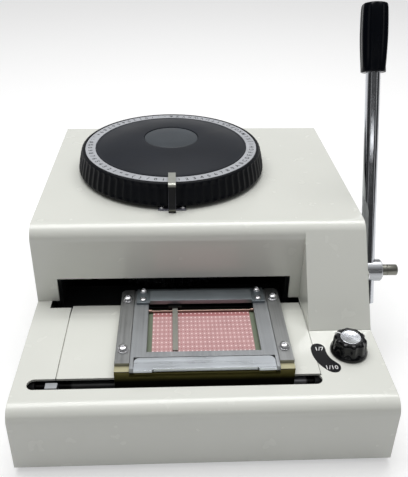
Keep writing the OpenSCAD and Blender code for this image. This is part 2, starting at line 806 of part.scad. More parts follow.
module dial_rim() color([0.07, 0.07, 0.08]) about_dial(rim_z) difference() {
    seat = rim_h - 0.3 - ring_t;
    bore = axle_r + fixed;
    hub = axle_r + 6;
    inner = ring_in - 4;
    rotate_extrude() polygon([
        [bore, rim_web[0] - 5], [hub, rim_web[0] - 5], [hub, rim_web[0]], [inner, rim_web[0]], [inner, 0],
        [rim_r - 1, 0], [rim_r, 1.2], [rim_r - 0.6, 7], [rim_r - 3.6, rim_h - 3],
        [rim_top_r + 1.4, rim_h - 0.9], [rim_top_r, rim_h], [ring_r + 0.3, rim_h], [ring_r + 0.3, seat],
        [inner, seat], [inner, rim_web[1]], [hub, rim_web[1]], [hub, rim_web[1] + 3], [bore, rim_web[1] + 3]
    ]);
    for (i = [0 : characters - 1])
        rotate([0, 0, (i + 0.5) * step]) translate([rim_r + 3.1, 0, 2.2]) rotate([0, -9, 0])
            cylinder(r = 4.2, h = rim_h - 5);
}

module scale_ring() color([0.80, 0.81, 0.83]) about_dial(ring_top - ring_t)
    washer(ring_in, ring_r, ring_t);

// Height of the dome over the ring at a share of the way to the badge
function dome(share) = dome_rise * sin(90 * share);

module dial_face() color([0.13, 0.14, 0.15]) about_dial(ring_top) {
    edge = ring_in - 0.3;
    badge_r = badge_d / 2 + 0.3;
    rotate_extrude() polygon(concat(
        [
            [0, dome_rise - 5], [badge_r, dome_rise - 5], [ring_in - 12, -3.5], [ring_in - 4.3, -5],
            [ring_in - 4.3, -ring_t], [edge, -ring_t], [edge, 0]
        ],
        [for (i = [1 : 8]) [edge - (edge - badge_r) * i / 8, dome(i / 8)]],
        [[badge_r, dome_rise - badge_t], [0, dome_rise - badge_t]]
    ));
}

module dial_badge() color([0.16, 0.17, 0.18]) about_dial(dome_top - badge_t) {
    badge_r = badge_d / 2;
    rotate_extrude() polygon([
        [0, 0], [badge_r, 0], [badge_r, badge_t - 0.9], [badge_r - 0.7, badge_t - 0.4],
        [badge_r / 2, badge_t + 0.1], [0, badge_t + 0.3]
    ]);
}

module wheel_shaft() color([0.70, 0.71, 0.72]) about_dial(0)
    bar_z(axle_r, 0, 0, [low_plate_z[0] - 8, rim_z + rim_web[1] + 3]);

// Places of the characters round the wheel, the first one at the strike
module at_characters(first) {
    for (i = [first : characters - 1])
        rotate([0, 0, i * step - 90]) translate([punch_ring, 0, 0]) children();
}

// Wheel disc with its hub, bored for the shaft and for the pins
module character_wheel(disc_z, hub_z) {
    difference() {
        union() {
            bar_z(wheel_r, 0, 0, [disc_z, disc_z + wheel_t]);
            bar_z(wheel_hub_r, 0, 0, hub_z);
        }
        bar_z(axle_r + fixed, 0, 0, past(hub_z));
        at_characters(0) bar_z(punch_r + run, 0, 0, past([disc_z, disc_z + wheel_t]));
    }
}

module punch_wheel() color([0.62, 0.63, 0.64]) about_dial(0)
    character_wheel(punch_wheel_z, [card_z, top_plate_z[0] - bush_t - slide]);

module die_wheel() color([0.62, 0.63, 0.64]) about_dial(0) difference() {
    character_wheel(die_wheel_z, [low_plate_z[1] + bush_t + slide, card_z]);
    for (i = [0 : characters - 1])
        rotate([0, 0, i * step]) translate([wheel_r + notch_r / 2, 0, 0])
            bar_z(notch_r, 0, 0, past([die_wheel_z, die_wheel_z + wheel_t]));
}

// One punch, tip down, its head above the wheel
module punch() {
    bar_z(punch_r, 0, 0, [punch_tip, punch_end]);
    bar_z(pin_head[0], 0, 0, [punch_end - pin_head[1], punch_end]);
}

// One die, tip up, its head below the wheel
module die() {
    bar_z(punch_r, 0, 0, [die_end, die_tip]);
    bar_z(pin_head[0], 0, 0, [die_end, die_end + pin_head[1]]);
}

module punch_pins() color([0.55, 0.56, 0.58]) about_dial(0) at_characters(1) punch();

module die_pins() color([0.55, 0.56, 0.58]) about_dial(0) at_characters(1) die();

module struck_punch() placed() color([0.50, 0.51, 0.53]) translate([dial_x, strike_y, 0]) punch();

module struck_die() placed() color([0.50, 0.51, 0.53]) translate([dial_x, strike_y, 0]) die();

// Spring plunger whose tip rests in a notch of the die wheel
module detent_plunger() placed() color([0.70, 0.71, 0.72]) {
    rim_x = dial_x + wheel_r;
    knob = [frame_right + frame_t + 2, frame_right + frame_t + 6];
    bar_x(0.7, [rim_x - notch_r / 4, rim_x + 2 + eps], dial_y, detent_z);
    bar_x(detent_r, [rim_x + 2, knob[1]], dial_y, detent_z);
    bar_x(detent_r + 2.5, knob, dial_y, detent_z);
}

module lever_shaft() placed() color([0.70, 0.71, 0.72]) {
    bar_x(shaft_r, [pedestal_x[0] - 2, hub_x[1]], lever_y, lever_z);
    bar_x(stub_d / 2, [hub_x[1] - eps, hub_x[1] + stub_l], lever_y, lever_z);
}

// +Z runs up the lever rod from the shaft's axis
module on_lever(out) {
    placed() translate([rod_x, lever_y, lever_z]) rotate([-lever_lean, 0, 0])
        translate([0, 0, out]) children();
}

module lever_hub() color([0.78, 0.79, 0.80]) difference() {
    placed() {
        bar_x(hub_d / 2, [hub_x[0], hub_x[1] - 1.2], lever_y, lever_z);
        translate([hub_x[1] - 1.2, lever_y, lever_z]) rotate([0, 90, 0])
            cylinder(r1 = hub_d / 2, r2 = hub_d / 2 - 1.2, h = 1.2);
    }
    placed() bar_x(shaft_r + fixed, past(hub_x), lever_y, lever_z);
    for (end = [rod_seat - 0.1, 0.1 - rod_seat - hub_d])
        on_lever(end) cylinder(r = rod_r + fixed, h = hub_d);
}

// Rod above the shaft, and its tail below the hub
module lever_rod() color([0.85, 0.86, 0.88]) {
    on_lever(rod_seat) cylinder(r = rod_r, h = grip_start + rod_in_grip - rod_seat);
    on_lever(-rod_tail) cylinder(r = rod_r, h = rod_tail - rod_seat);
}

module lever_grip() color([0.06, 0.06, 0.07]) on_lever(grip_start) rotate_extrude() polygon([
    [rod_r + fixed, 0], [grip_d * 0.415, 0], [grip_d * 0.43, 0.8], [grip_d * 0.475, grip_l * 0.25],
    [grip_d * 0.5, grip_l * 0.52], [grip_d * 0.495, grip_l * 0.8], [grip_d * 0.48, grip_l - 3],
    [grip_d * 0.46, grip_l - 1.2], [grip_d * 0.42, grip_l - 0.3], [grip_d * 0.36, grip_l],
    [0, grip_l], [0, rod_in_grip + fixed], [rod_r + fixed, rod_in_grip + fixed]
]);

// Eccentric on the lever shaft: its offset points at the given angle
module cam(x, throw, angle) {
    difference() {
        bar_x(cam_r, [x - cam_w / 2, x + cam_w / 2],
            lever_y + throw * cos(angle), lever_z + throw * sin(angle));
        bar_x(shaft_r + fixed, [x - cam_w, x + cam_w], lever_y, lever_z);
    }
}

module press_cams() placed() color([0.50, 0.50, 0.52]) {
    cam(top_leg_x, top_throw, -half_pull);
    cam(low_leg_x, low_throw, 180 - half_pull);
}

// Rocker with a leg that ends at its cam
module rocker(z, leg_x, leg_z, pivot_z) {
    y = [lever_y - rocker_w / 2, lever_y + rocker_w / 2];
    difference() {
        union() {
            box([rocker_nose, leg_x + leg_w / 2], y, [z, z + rocker_h]);
            box([leg_x - leg_w / 2, leg_x + leg_w / 2], y, leg_z);
        }
        bar_y(pin_r + run, rocker_x, past(y), pivot_z);
    }
}

module upper_rocker() placed() color([0.46, 0.47, 0.50])
    rocker(rocker_top_z, top_leg_x, [top_leg_z, rocker_top_z + 1], pivot_top_z);

module lower_rocker() placed() color([0.46, 0.47, 0.50])
    rocker(rocker_low_z, low_leg_x, [rocker_low_z + 1, low_leg_z], pivot_low_z);

module press_ram() placed() color([0.66, 0.67, 0.69]) {
    bar_z(ram_r, dial_x, strike_y, ram_z);
    bar_z(ram_head[0], dial_x, strike_y, [ram_z[1] - ram_head[1], ram_z[1]]);
}

module press_anvil() placed() color([0.66, 0.67, 0.69]) {
    bar_z(ram_r, dial_x, strike_y, anvil_z);
    bar_z(ram_head[0], dial_x, strike_y, [anvil_z[0], anvil_z[0] + ram_head[1]]);
}

module on_carriage() {
    placed() translate([carriage_x, 0, 0]) children();
}

module carriage_tray() color([0.52, 0.49, 0.25]) on_carriage() difference() {
    union() {
        // floor, raised sides and the flanges under the arms
        box([-half_in - tray_t, half_in + tray_t], [wall_y[0], back_wall_y[1]],
            [tray_floor - tray_t, tray_floor]);
        for (side = [-1, 1]) {
            box(on_side(side, half_in, half_in + tray_t), [wall_y[0], back_wall_y[1]],
                [tray_floor - tray_t, tray_top]);
            box(on_side(side, half_in, half_out), [wall_y[0], back_wall_y[1]],
                [tray_top - tray_t, tray_top]);
            box(on_side(side, half_in, half_out), wall_y, [wall_foot, tray_top]);
        }
        // front wall down through the slot, back wall down behind the deck
        box([-half_in - 1, half_in + 1], wall_y, [wall_foot, tray_floor]);
        box([-half_out + 4, half_out - 4], back_wall_y, [back_wall_foot, tray_floor]);
    }
    for (side = [-1, 1], y = arm_screw_y)
        bar_z(screw_tap, side * arm_screw_dx, y, past([tray_top - tray_t, tray_top]));
}

module carriage_arms() color([0.66, 0.67, 0.68]) on_carriage()
    for (side = [-1, 1]) difference() {
        translate([0, 0, tray_top]) linear_extrude(height = arm_t) polygon([
            [side * half_in, arm_front], [side * half_out, arm_front], [side * half_out, arm_end - 3],
            [side * (half_out - 3), arm_end], [side * half_in, arm_end]
        ]);
        for (y = arm_screw_y)
            bar_z(screw_hole, side * arm_screw_dx, y, past([tray_top, carriage_top]));
    }

module arm_screws() color([0.86, 0.86, 0.87]) on_carriage()
    for (side = [-1, 1], y = arm_screw_y) translate([side * arm_screw_dx, y, carriage_top]) {
        washer(screw_d / 2 + run, screw_d * 0.95 + 0.7, arm_washer_t);
        translate([0, 0, arm_washer_t]) pan_screw(screw_d, arm_washer_t + arm_t + tray_t);
    }

// Bronze slide block, bored for its rail
module rail_block(x, y, z, rail_y, rail_z) {
    difference() {
        box([x - block_w / 2, x + block_w / 2], y, z);
        bar_x(rail_r + run, [x - block_w, x + block_w], rail_y, rail_z);
    }
}

module rail_blocks() color([0.72, 0.53, 0.28]) on_carriage() {
    for (x = front_block_x)
        rail_block(x, [wall_y[1], front_rail_y + rail_r + boss_wall],
            [front_rail_z - rail_r - 1, front_rail_z + rail_r + 2.5], front_rail_y, front_rail_z);
    for (x = back_block_x)
        rail_block(x, [back_rail_y - rail_r - boss_wall, back_wall_y[0]],
            [back_rail_z - rail_r - 2, back_rail_z + rail_r + 3], back_rail_y, back_rail_z);
}

// Ratchet rack behind the front blocks, its teeth pointing down
module spacing_rack() color([0.60, 0.61, 0.62]) on_carriage()
    translate([0, rack_y[1], 0]) rotate([90, 0, 0]) linear_extrude(height = rack_y[1] - rack_y[0])
        translate([-teeth * pitch / 2, 0]) polygon(concat(
            [[0, rack_z[1]]],
            [for (i = [0 : teeth - 1], corner = [[0, tooth_h], [1, 0]])
                [(i + corner[0]) * pitch, rack_z[0] + corner[1]]],
            [[teeth * pitch, rack_z[1]]]
        ));

module card_frame() color([0.68, 0.70, 0.72]) on_carriage() difference() {
    union() {
        difference() {
            box([-frame_x, frame_x], [front_bar, frame_end], [plate_low, carriage_top]);
            box([-window_w / 2, window_w / 2], [window_front, window_end],
                past([plate_low, carriage_top]));
        }
        for (side = [-1, 1]) {
            // rails that slide on the tray, and prongs that hold the clamp bar
            box(on_side(side, side_in, frame_x), [front_bar, frame_end], [frame_low, plate_low + eps]);
            box(on_side(side, clamp_x + slide, frame_x), [clamp_axis[0] - 2.4, front_bar + eps],
                [clamp_axis[1] - trunnion_r - 1, carriage_top]);
        }
    }
    bar_x(trunnion_r + run, [-frame_x - 1, frame_x + 1], clamp_axis[0], clamp_axis[1]);
    for (side = [-1, 1], y = cross_screw_y)
        bar_z(small_screw_d / 2 + run, side * cross_screw_dx, y, [tab_top - 9, carriage_top + 1]);
}

module crossbar() color([0.55, 0.57, 0.59]) on_carriage() difference() {
    union() {
        box([-crossbar_x, crossbar_x], [crossbar_front, crossbar_back], crossbar_z);
        box([-tab_x, tab_x], [tab_front, frame_end], [crossbar_z[0], tab_top]);
        for (side = [-1, 1])
            box(on_side(side, window_w / 2, tab_x), [tab_front, frame_end], [carriage_top, tab_top]);
    }
    for (side = [-1, 1], y = cross_screw_y)
        bar_z(small_screw_d / 2 + 0.2, side * cross_screw_dx, y, past([carriage_top, tab_top]));
}

module crossbar_screws() color([0.86, 0.86, 0.87]) on_carriage()
    for (side = [-1, 1]) translate([side * cross_screw_dx, 0, tab_top]) {
        translate([0, cross_screw_y[0], 0]) pan_screw(small_screw_d, 8);
        translate([0, cross_screw_y[1], 0]) washer(small_screw_d / 2 + run, small_screw_d * 0.95 + 0.5, 1.4);
        translate([0, cross_screw_y[1], 1.4]) pan_screw(small_screw_d, 9.4);
    }

// Bed below the window, a riser in front and a tongue below the clamp bar
module card_bed() color([0.42, 0.46, 0.38]) on_carriage() {
    box([-side_in, side_in], [front_bar + 2, guide_y[1]], [sheet_z - bed_t, sheet_z]);
    box([-side_in, side_in], [front_bar - 1, front_bar + 5], [frame_low, sheet_z - 1]);
    box([-clamp_x, clamp_x], [wall_y[1] + 0.8, front_bar - slide], [frame_low, frame_low + 1.5]);
}

module grid_sheet() color([0.83, 0.55, 0.58]) on_carriage()
    box([-card_l / 2, card_l / 2], [wire_y + 1.9 - card_w, wire_y + 1.9], [sheet_z, sheet_z + sheet_t]);

module rear_rod() color([0.86, 0.84, 0.82]) on_carriage() {
    bar_x(wire_r, [-window_w / 2, window_w / 2], wire_y, wire_z);
    for (side = [-1, 1])
        bar_x(button_r, on_side(side, window_w / 2 - 2.6, window_w / 2), wire_y, wire_z + 0.3);
}

module pointer_rail() color([0.24, 0.25, 0.26]) on_carriage()
    box([-window_w / 2, window_w / 2], guide_y, guide_z);

// Slider astride its rail, with a strip that runs down to the sheet
module line_pointer() placed() color([0.45, 0.46, 0.40]) difference() {
    tip_y = window_front + 5;
    union() {
        box([line_x - slider_w / 2, line_x + slider_w / 2],
            [guide_y[0] - slide - 0.9, guide_y[1] + slide + 0.7], [sheet_z + 0.4, guide_z[1] + 1.5]);
        along_x([line_x - pointer_w / 2, line_x + pointer_w / 2]) polygon([
            [tip_y, sheet_z + 0.9], [guide_y[0], guide_z[1] + 0.5],
            [guide_y[0], guide_z[1] + 1.3], [tip_y, sheet_z + 1.6]
        ]);
    }
    box([line_x - slider_w, line_x + slider_w], past(guide_y, slide), [sheet_z - 1, guide_z[1] + slide]);
}

module clamp_bar() color([0.72, 0.74, 0.76]) on_carriage() {
    corner = 5;
    difference() {
        translate([0, 0, carriage_top - clamp_t]) linear_extrude(height = clamp_t) {
            translate([-clamp_x, clamp_y[0]]) square([2 * clamp_x, clamp_depth - corner]);
            translate([corner - clamp_x, clamp_y[0]]) square([2 * (clamp_x - corner), clamp_depth]);
            for (side = [-1, 1])
                translate([side * (clamp_x - corner), clamp_y[1] - corner]) circle(r = corner);
        }
        // finger relief along the front edge
        translate([0, clamp_y[0], carriage_top - clamp_t - 1]) linear_extrude(height = clamp_t + 2)
            polygon([[-42.5, -1], [-40.5, 1.8], [41.5, 1.8], [43.5, -1]]);
    }
    // barrel under the bar, with the trunnions at its ends
    box([-clamp_x, clamp_x], [clamp_axis[0] - 1.8, clamp_axis[0] + 1.8],
        [clamp_axis[1] - 1.8, carriage_top - clamp_t + eps]);
    bar_x(trunnion_r, [slide - half_in, half_in - slide], clamp_axis[0], clamp_axis[1]);
}

module card_jaw() color([0.50, 0.51, 0.52]) on_carriage()
    box([0.5 - window_w / 2, window_w / 2 - 0.5], jaw_y, jaw_z);

module margin_stop() placed() color([0.62, 0.62, 0.60]) difference() {
    box([stop_x - stop_w / 2, stop_x + stop_w / 2], [stop_rail_y[0] - 1.7, stop_rail_y[1] + 1.2],
        [stop_rail_z[0] - 2, deck_h - 0.8]);
    box([stop_x - stop_w, stop_x + stop_w], past(stop_rail_y, slide), past(stop_rail_z, slide));
}

module selector_knob() placed() color([0.06, 0.06, 0.07]) translate([knob_x, knob_y, knob_z]) {
    top = knob_h - slide;
    skirt = knob_d / 2;
    difference() {
        rotate_extrude() polygon([
            [stem_r + fixed, 0], [skirt, 0], [skirt, 2.5], [skirt - 1.2, 3.6], [skirt - 2.2, 4.6],
            [skirt - 3, top - 3], [skirt - 4, top - 0.6], [skirt - 5.4, top],
            [cap_r + 0.1, top], [cap_r + 0.1, top - cap_t], [stem_r + fixed, top - cap_t]
        ]);
        for (i = [0 : 11])
            rotate([0, 0, i * 30]) translate([skirt + 3.2, 0, 5]) cylinder(r = 5, h = knob_h);
    }
}

module knob_cap() placed() color([0.82, 0.83, 0.84]) translate([knob_x, knob_y, knob_top - cap_t]) {
    cylinder(r = cap_r, h = cap_t * 0.7);
    translate([0, 0, cap_t * 0.7]) cylinder(r1 = cap_r, r2 = cap_r - 0.4, h = cap_t * 0.3);
}

// Stem of the knob with the eccentric that shifts the spacing
module selector_shaft() placed() color([0.70, 0.71, 0.72]) {
    bar_z(stem_r, knob_x, knob_y, [stem_low, knob_top - cap_t]);
    bar_z(9, knob_x - 3, knob_y, [stem_low + 2, stem_low + 6]);
}

// Pawl between the cheeks, its tip below the rack
module spacing_pawl() placed() color([0.60, 0.61, 0.62]) {
    y = [rack_y[0], rack_y[1]];
    bar_y(4, pawl_x, y, pawl_z);
    bar_y(trunnion_r, pawl_x, past(y, 3.5), pawl_z);
    box([pawl_x, pawl_x + pawl_reach], y, [pawl_z - 3, pawl_z + 3]);
    box([pawl_x + pawl_reach - 3, pawl_x + pawl_reach], y, [pawl_z, rack_z[0] - 1.5]);
}

base_plate();
rubber_feet();
base_casing();
deck_plate();
head_cover();
casing_screws();
side_frames();
top_plate();
lower_plate();
frame_screws();
bronze_bushes();
carriage_rails();
rail_brackets();
stop_rail();
lever_plate();
lever_pedestal();
rocker_pins();
dial_pointer();
pitch_label();
dial_rim();
scale_ring();
dial_face();
dial_badge();
wheel_shaft();
punch_wheel();
die_wheel();
punch_pins();
die_pins();
struck_punch();
struck_die();
detent_plunger();
lever_shaft();
lever_hub();
lever_rod();
lever_grip();
press_cams();
upper_rocker();
lower_rocker();
press_ram();
press_anvil();
carriage_tray();
carriage_arms();
arm_screws();
rail_blocks();
spacing_rack();
card_frame();
crossbar();
crossbar_screws();
card_bed();
grid_sheet();
rear_rod();
pointer_rail();
line_pointer();
clamp_bar();
card_jaw();
margin_stop();
selector_knob();
knob_cap();
selector_shaft();
spacing_pawl();
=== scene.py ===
"""Looks of a manual plastic card embosser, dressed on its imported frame.

Sizes are millimetres on the bench: X to the right, Y back from the casing's
front apron, Z up from the base plate. bench() turns them into scene metres.
"""

import logging
import math
from abc import ABC, abstractmethod
from collections.abc import Callable
from dataclasses import dataclass
from enum import Enum

import bmesh
import bpy
from mathutils import Matrix, Vector


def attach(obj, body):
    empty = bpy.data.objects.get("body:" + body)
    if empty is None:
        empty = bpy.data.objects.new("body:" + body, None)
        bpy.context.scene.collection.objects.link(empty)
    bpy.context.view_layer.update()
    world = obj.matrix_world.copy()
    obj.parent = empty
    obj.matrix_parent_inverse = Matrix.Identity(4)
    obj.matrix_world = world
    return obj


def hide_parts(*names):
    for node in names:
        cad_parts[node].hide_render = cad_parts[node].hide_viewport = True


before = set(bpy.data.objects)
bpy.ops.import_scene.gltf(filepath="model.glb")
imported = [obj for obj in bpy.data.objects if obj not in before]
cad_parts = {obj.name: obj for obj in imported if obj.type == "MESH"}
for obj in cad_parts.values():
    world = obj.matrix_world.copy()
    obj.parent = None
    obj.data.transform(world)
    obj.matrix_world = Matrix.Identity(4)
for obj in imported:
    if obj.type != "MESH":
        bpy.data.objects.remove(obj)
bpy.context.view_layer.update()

log = logging.getLogger("embosser")

MM = 0.001
HALF_DEPTH = 189.0
Rgb = tuple[float, float, float]
Profile = list[tuple[float, float]]


def bench(x: float, y: float, z: float) -> Vector:
    """Turns a bench point in millimetres into a scene point in metres."""
    return Vector((x, y - HALF_DEPTH, z)) * MM


def linear(colour: Rgb) -> tuple[float, float, float, float]:
    """Turns a colour as written on screen into the linear one a socket takes."""
    return (*((c / 12.92) if c <= 0.04045 else ((c + 0.055) / 1.055) ** 2.4 for c in colour), 1.0)


def grey(level: float) -> Rgb:
    """Returns a neutral grey."""
    return (level, level, level)


def shade(colour: Rgb, factor: float) -> Rgb:
    """Returns the colour made lighter or darker by a factor."""
    return tuple(min(1.0, c * factor) for c in colour)


class Body(Enum):
    """Moving bodies of the frame that carry pieces modelled here."""

    BASE = "machine_base"
    WHEEL = "type_wheel"
    LEVER = "lever"
    CARRIAGE = "carriage"
    HOLDER = "card_holder"
    SELECTOR = "selector"


class Grain(Enum):
    """Direction in which a metal is brushed, as pattern scales per metre."""

    ALONG_X = (9.0, 900.0, 900.0)
    ALONG_Y = (900.0, 9.0, 900.0)
    ALONG_Z = (900.0, 900.0, 9.0)


# Shader graphs ---------------------------------------------------------------


@dataclass(frozen=True)
class Wire:
    """A number in a node tree; arithmetic on it adds Math nodes."""

    graph: "Graph"
    socket: bpy.types.NodeSocket

    def math(self, operation: str, *others: "Wire | float", clamp: bool = False) -> "Wire":
        """Adds a Math node.

        Args:
            operation: the Math node's operation.
            others: the values of its further sockets.
            clamp: whether the result stays from 0 to 1.

        Returns:
            The result as a wire.
        """
        made = self.graph.node(
            "ShaderNodeMath",
            {"operation": operation, "use_clamp": clamp},
            {i: v for i, v in enumerate((self, *others))},
        )
        return Wire(self.graph, made.outputs[0])

    def __add__(self, other: "Wire | float") -> "Wire":
        """Adds."""
        return self.math("ADD", other)

    def __radd__(self, other: float) -> "Wire":
        """Adds to a number."""
        return self.math("ADD", other)

    def __sub__(self, other: "Wire | float") -> "Wire":
        """Subtracts."""
        return self.math("SUBTRACT", other)

    def __rsub__(self, other: float) -> "Wire":
        """Subtracts from a number."""
        return (self * -1.0) + other

    def __mul__(self, other: "Wire | float") -> "Wire":
        """Multiplies."""
        return self.math("MULTIPLY", other)

    def __rmul__(self, other: float) -> "Wire":
        """Multiplies a number."""
        return self.math("MULTIPLY", other)

    def __truediv__(self, other: "Wire | float") -> "Wire":
        """Divides."""
        return self.math("DIVIDE", other)

    def __pow__(self, other: "Wire | float") -> "Wire":
        """Raises to a power."""
        return self.math("POWER", other)

    def fract(self) -> "Wire":
        """Keeps the part after the decimal point."""
        return self.math("FRACT")

    def clamp(self) -> "Wire":
        """Keeps the number from 0 to 1."""
        return self.math("ADD", 0.0, clamp=True)


class Graph:
    """A node tree with methods that add and link its nodes."""

    def __init__(self, tree: bpy.types.NodeTree) -> None:
        """Empties the tree and keeps it."""
        tree.nodes.clear()
        self.tree = tree

    def node(
        self,
        kind: str,
        settings: dict[str, object] | None = None,
        inputs: dict[str | int, object] | None = None,
    ) -> bpy.types.Node:
        """Adds a node.

        Args:
            kind: the node's type.
            settings: its properties, set first; "stops" are a ramp's.
            inputs: values or links of its sockets, by name or number.

        Returns:
            The node.
        """
        made = self.tree.nodes.new(kind)
        for key, value in (settings or {}).items():
            if key == "stops":
                self.set_stops(made, value)
            else:
                setattr(made, key, value)
        for key, value in (inputs or {}).items():
            self.feed(made.inputs[key], value)
        return made

    def set_stops(self, ramp: bpy.types.Node, stops: list[tuple[float, Rgb]]) -> None:
        """Sets a colour ramp's stops."""
        elements = ramp.color_ramp.elements
        while len(elements) < len(stops):
            elements.new(0.5)
        for element, (place, colour) in zip(elements, stops):
            element.position = place
            element.color = linear(colour)

    def feed(self, socket: bpy.types.NodeSocket, value: object) -> None:
        """Links a wire or socket to a socket, or sets the socket's value."""
        if isinstance(value, Wire):
            value = value.socket
        if isinstance(value, bpy.types.NodeSocket):
            self.tree.links.new(value, socket)
        else:
            socket.default_value = value

    def place(
        self, scale: tuple[float, float, float] = (1, 1, 1), at: Vector | None = None
    ) -> bpy.types.NodeSocket:
        """Returns Object coordinates, scaled per metre about a point."""
        source = self.node("ShaderNodeTexCoord").outputs["Object"]
        shift = at or Vector((0, 0, 0))
        ends = {0: source, 1: tuple(shift)}
        moved = self.node("ShaderNodeVectorMath", {"operation": "SUBTRACT"}, ends).outputs[0]
        return self.node("ShaderNodeMapping", {}, {"Vector": moved, "Scale": scale}).outputs[0]

    def bench_axes(self, x: float = 0.0, y: float = 0.0) -> tuple[Wire, Wire, Wire]:
        """Returns bench coordinates in millimetres, counted from a bench point on Z = 0."""
        return self.axes(self.place((1 / MM,) * 3, bench(x, y, 0)))

    def axes(self, vector: bpy.types.NodeSocket) -> tuple[Wire, Wire, Wire]:
        """Splits a vector into its three numbers."""
        made = self.node("ShaderNodeSeparateXYZ", {}, {0: vector})
        return tuple(Wire(self, made.outputs[i]) for i in range(3))

    def noise(self, vector: bpy.types.NodeSocket, scale: float = 1.0, detail: float = 2.0) -> Wire:
        """Returns smooth noise from 0 to 1, on average 0.5."""
        made = self.node("ShaderNodeTexNoise", {}, {"Vector": vector, "Scale": scale, "Detail": detail})
        return Wire(self, made.outputs["Fac"])

    def rays(self) -> tuple[Wire, Wire, Wire]:
        """Returns whether a ray comes from the camera, a gloss or through a clear piece."""
        made = self.node("ShaderNodeLightPath")
        kinds = ("Camera", "Glossy", "Transmission")
        return tuple(Wire(self, made.outputs[f"Is {kind} Ray"]) for kind in kinds)

    def blend(self, factor: Wire, low: object, high: object) -> bpy.types.NodeSocket:
        """Mixes two colours, given as written or as sockets."""
        ends = {i: linear(c) if isinstance(c, tuple) else c for i, c in ((6, low), (7, high))}
        return self.node("ShaderNodeMix", {"data_type": "RGBA"}, {0: factor, **ends}).outputs[2]

    def ramp(self, factor: Wire, stops: list[tuple[float, Rgb]]) -> bpy.types.NodeSocket:
        """Returns the colour of a ramp at a number."""
        return self.node("ShaderNodeValToRGB", {"stops": stops}, {0: factor}).outputs[0]


@dataclass
class Skin:
    """What a finish gives to the shader; bump depth is in millimetres."""

    colour: object
    rough: Wire | float
    metal: float = 0.0
    height: Wire | None = None
    depth: float = 0.01
    coat: float = 0.0
    coat_rough: float = 0.1
    specular: float = 0.5


@dataclass(frozen=True)
class Finish(ABC):
    """A finish of the machine; its edges look rounded by a small radius."""

    name: str
    colour: Rgb
    rough: float
    edge: float = 0.4

    @abstractmethod
    def skin(self, graph: Graph) -> Skin:
        """Makes the pattern nodes and returns what the shader takes."""

    def material(self) -> bpy.types.Material:
        """Returns the finish's material, made on first use."""
        name = f"{self.name}_look"
        found = bpy.data.materials.get(name)
        if found:
            return found
        made = bpy.data.materials.new(name)
        made.use_nodes = True
        made.diffuse_color = linear(self.colour)
        graph = Graph(made.node_tree)
        skin = self.skin(graph)
        normal = graph.node("ShaderNodeBevel", {"samples": 4}, {"Radius": self.edge * MM}).outputs[0]
        if skin.height is not None:
            relief = {"Height": skin.height, "Distance": skin.depth * MM, "Strength": 1.0}
            normal = graph.node("ShaderNodeBump", {}, {**relief, "Normal": normal}).outputs[0]
        colour = linear(skin.colour) if isinstance(skin.colour, tuple) else skin.colour
        shader = graph.node(
            "ShaderNodeBsdfPrincipled",
            {},
            {
                "Base Color": colour,
                "Roughness": skin.rough,
                "Metallic": skin.metal,
                "Normal": normal,
                "Coat Weight": skin.coat,
                "Coat Roughness": skin.coat_rough,
                "Specular IOR Level": skin.specular,
            },
        )
        graph.node("ShaderNodeOutputMaterial", {}, {"Surface": shader.outputs[0]})
        return made


@dataclass(frozen=True)
class Enamel(Finish):
    """Gloss stoving enamel with the faint ripple of sprayed paint."""

    ripple: float = 0.0004

    def skin(self, graph: Graph) -> Skin:
        """Mottles the tone a little and ripples the surface."""
        here = graph.place()
        tone = graph.noise(here, 14, 3)
        colour = graph.blend(tone, shade(self.colour, 0.988), shade(self.colour, 1.01))
        rough = graph.noise(here, 60, 2) * 0.08 + (self.rough - 0.04)
        ripple = graph.noise(here, 150, 2)
        return Skin(colour, rough, height=ripple, depth=self.ripple, coat=0.5, coat_rough=0.07)


@dataclass(frozen=True)
class Brushed(Finish):
    """Metal brushed or ground in one direction."""

    grain: Grain = Grain.ALONG_X
    contrast: float = 0.16
    metal: float = 1.0

    def skin(self, graph: Graph) -> Skin:
        """Draws fine and broad streaks along the grain and a few stains."""
        along = graph.place(self.grain.value)
        fine = graph.noise(along, 1.0, 3)
        broad = graph.noise(along, 0.16, 2)
        stain = graph.noise(graph.place(), 45, 3)
        mix = (fine * 0.5 + broad * 0.3 + stain * 0.2).clamp()
        reach = 1.6 * self.contrast
        colour = graph.blend(mix, shade(self.colour, 1 - reach), shade(self.colour, 1 + reach))
        rough = fine * 0.2 + stain * 0.1 + (self.rough - 0.15)
        return Skin(colour, rough, self.metal, height=fine, depth=0.004)


@dataclass(frozen=True)
class Polished(Finish):
    """Bright plating or polished metal with faint smears."""

    metal: float = 1.0

    def skin(self, graph: Graph) -> Skin:
        """Smears the gloss a little."""
        here = graph.place()
        smear = graph.noise(here, 90, 3)
        colour = graph.blend(smear, shade(self.colour, 0.94), shade(self.colour, 1.04))
        return Skin(colour, smear * 0.12 + (self.rough - 0.04), self.metal, height=smear, depth=0.003)


@dataclass(frozen=True)
class Spun(Finish):
    """Metal turned about an upright axis, with rings and a painted highlight that fans out in rays."""

    centre: tuple[float, float] = (0.0, 0.0)
    ring: float = 0.5
    # rays sets how strongly the painted bow-tie highlight shows in the colour.
    rays: float = 0.0
    metal: float = 1.0

    def skin(self, graph: Graph) -> Skin:
        """Draws turned rings, and a painted highlight in rays fanning out from the centre."""
        x, y, _ = graph.bench_axes(*self.centre)
        out = (x * x + y * y).math("SQRT")
        rings = (out * (math.tau / self.ring)).math("SINE") * 0.5 + 0.5
        stains = graph.noise(graph.place(), 60, 3)
        # Painted highlight: two lighter sectors in a bow tie, where turned metal catches the light.
        painted_fan_highlight = (y.math("ARCTAN2", x) * 2.0 + 0.9).math("COSINE") * 0.5 + 0.5
        tone = (rings * 0.3 + stains * 0.5 + (painted_fan_highlight ** 3.0) * self.rays).clamp()
        colour = graph.blend(tone, shade(self.colour, 0.82), shade(self.colour, 1.1))
        return Skin(colour, stains * 0.12 + (self.rough - 0.06), self.metal, height=rings, depth=0.01)


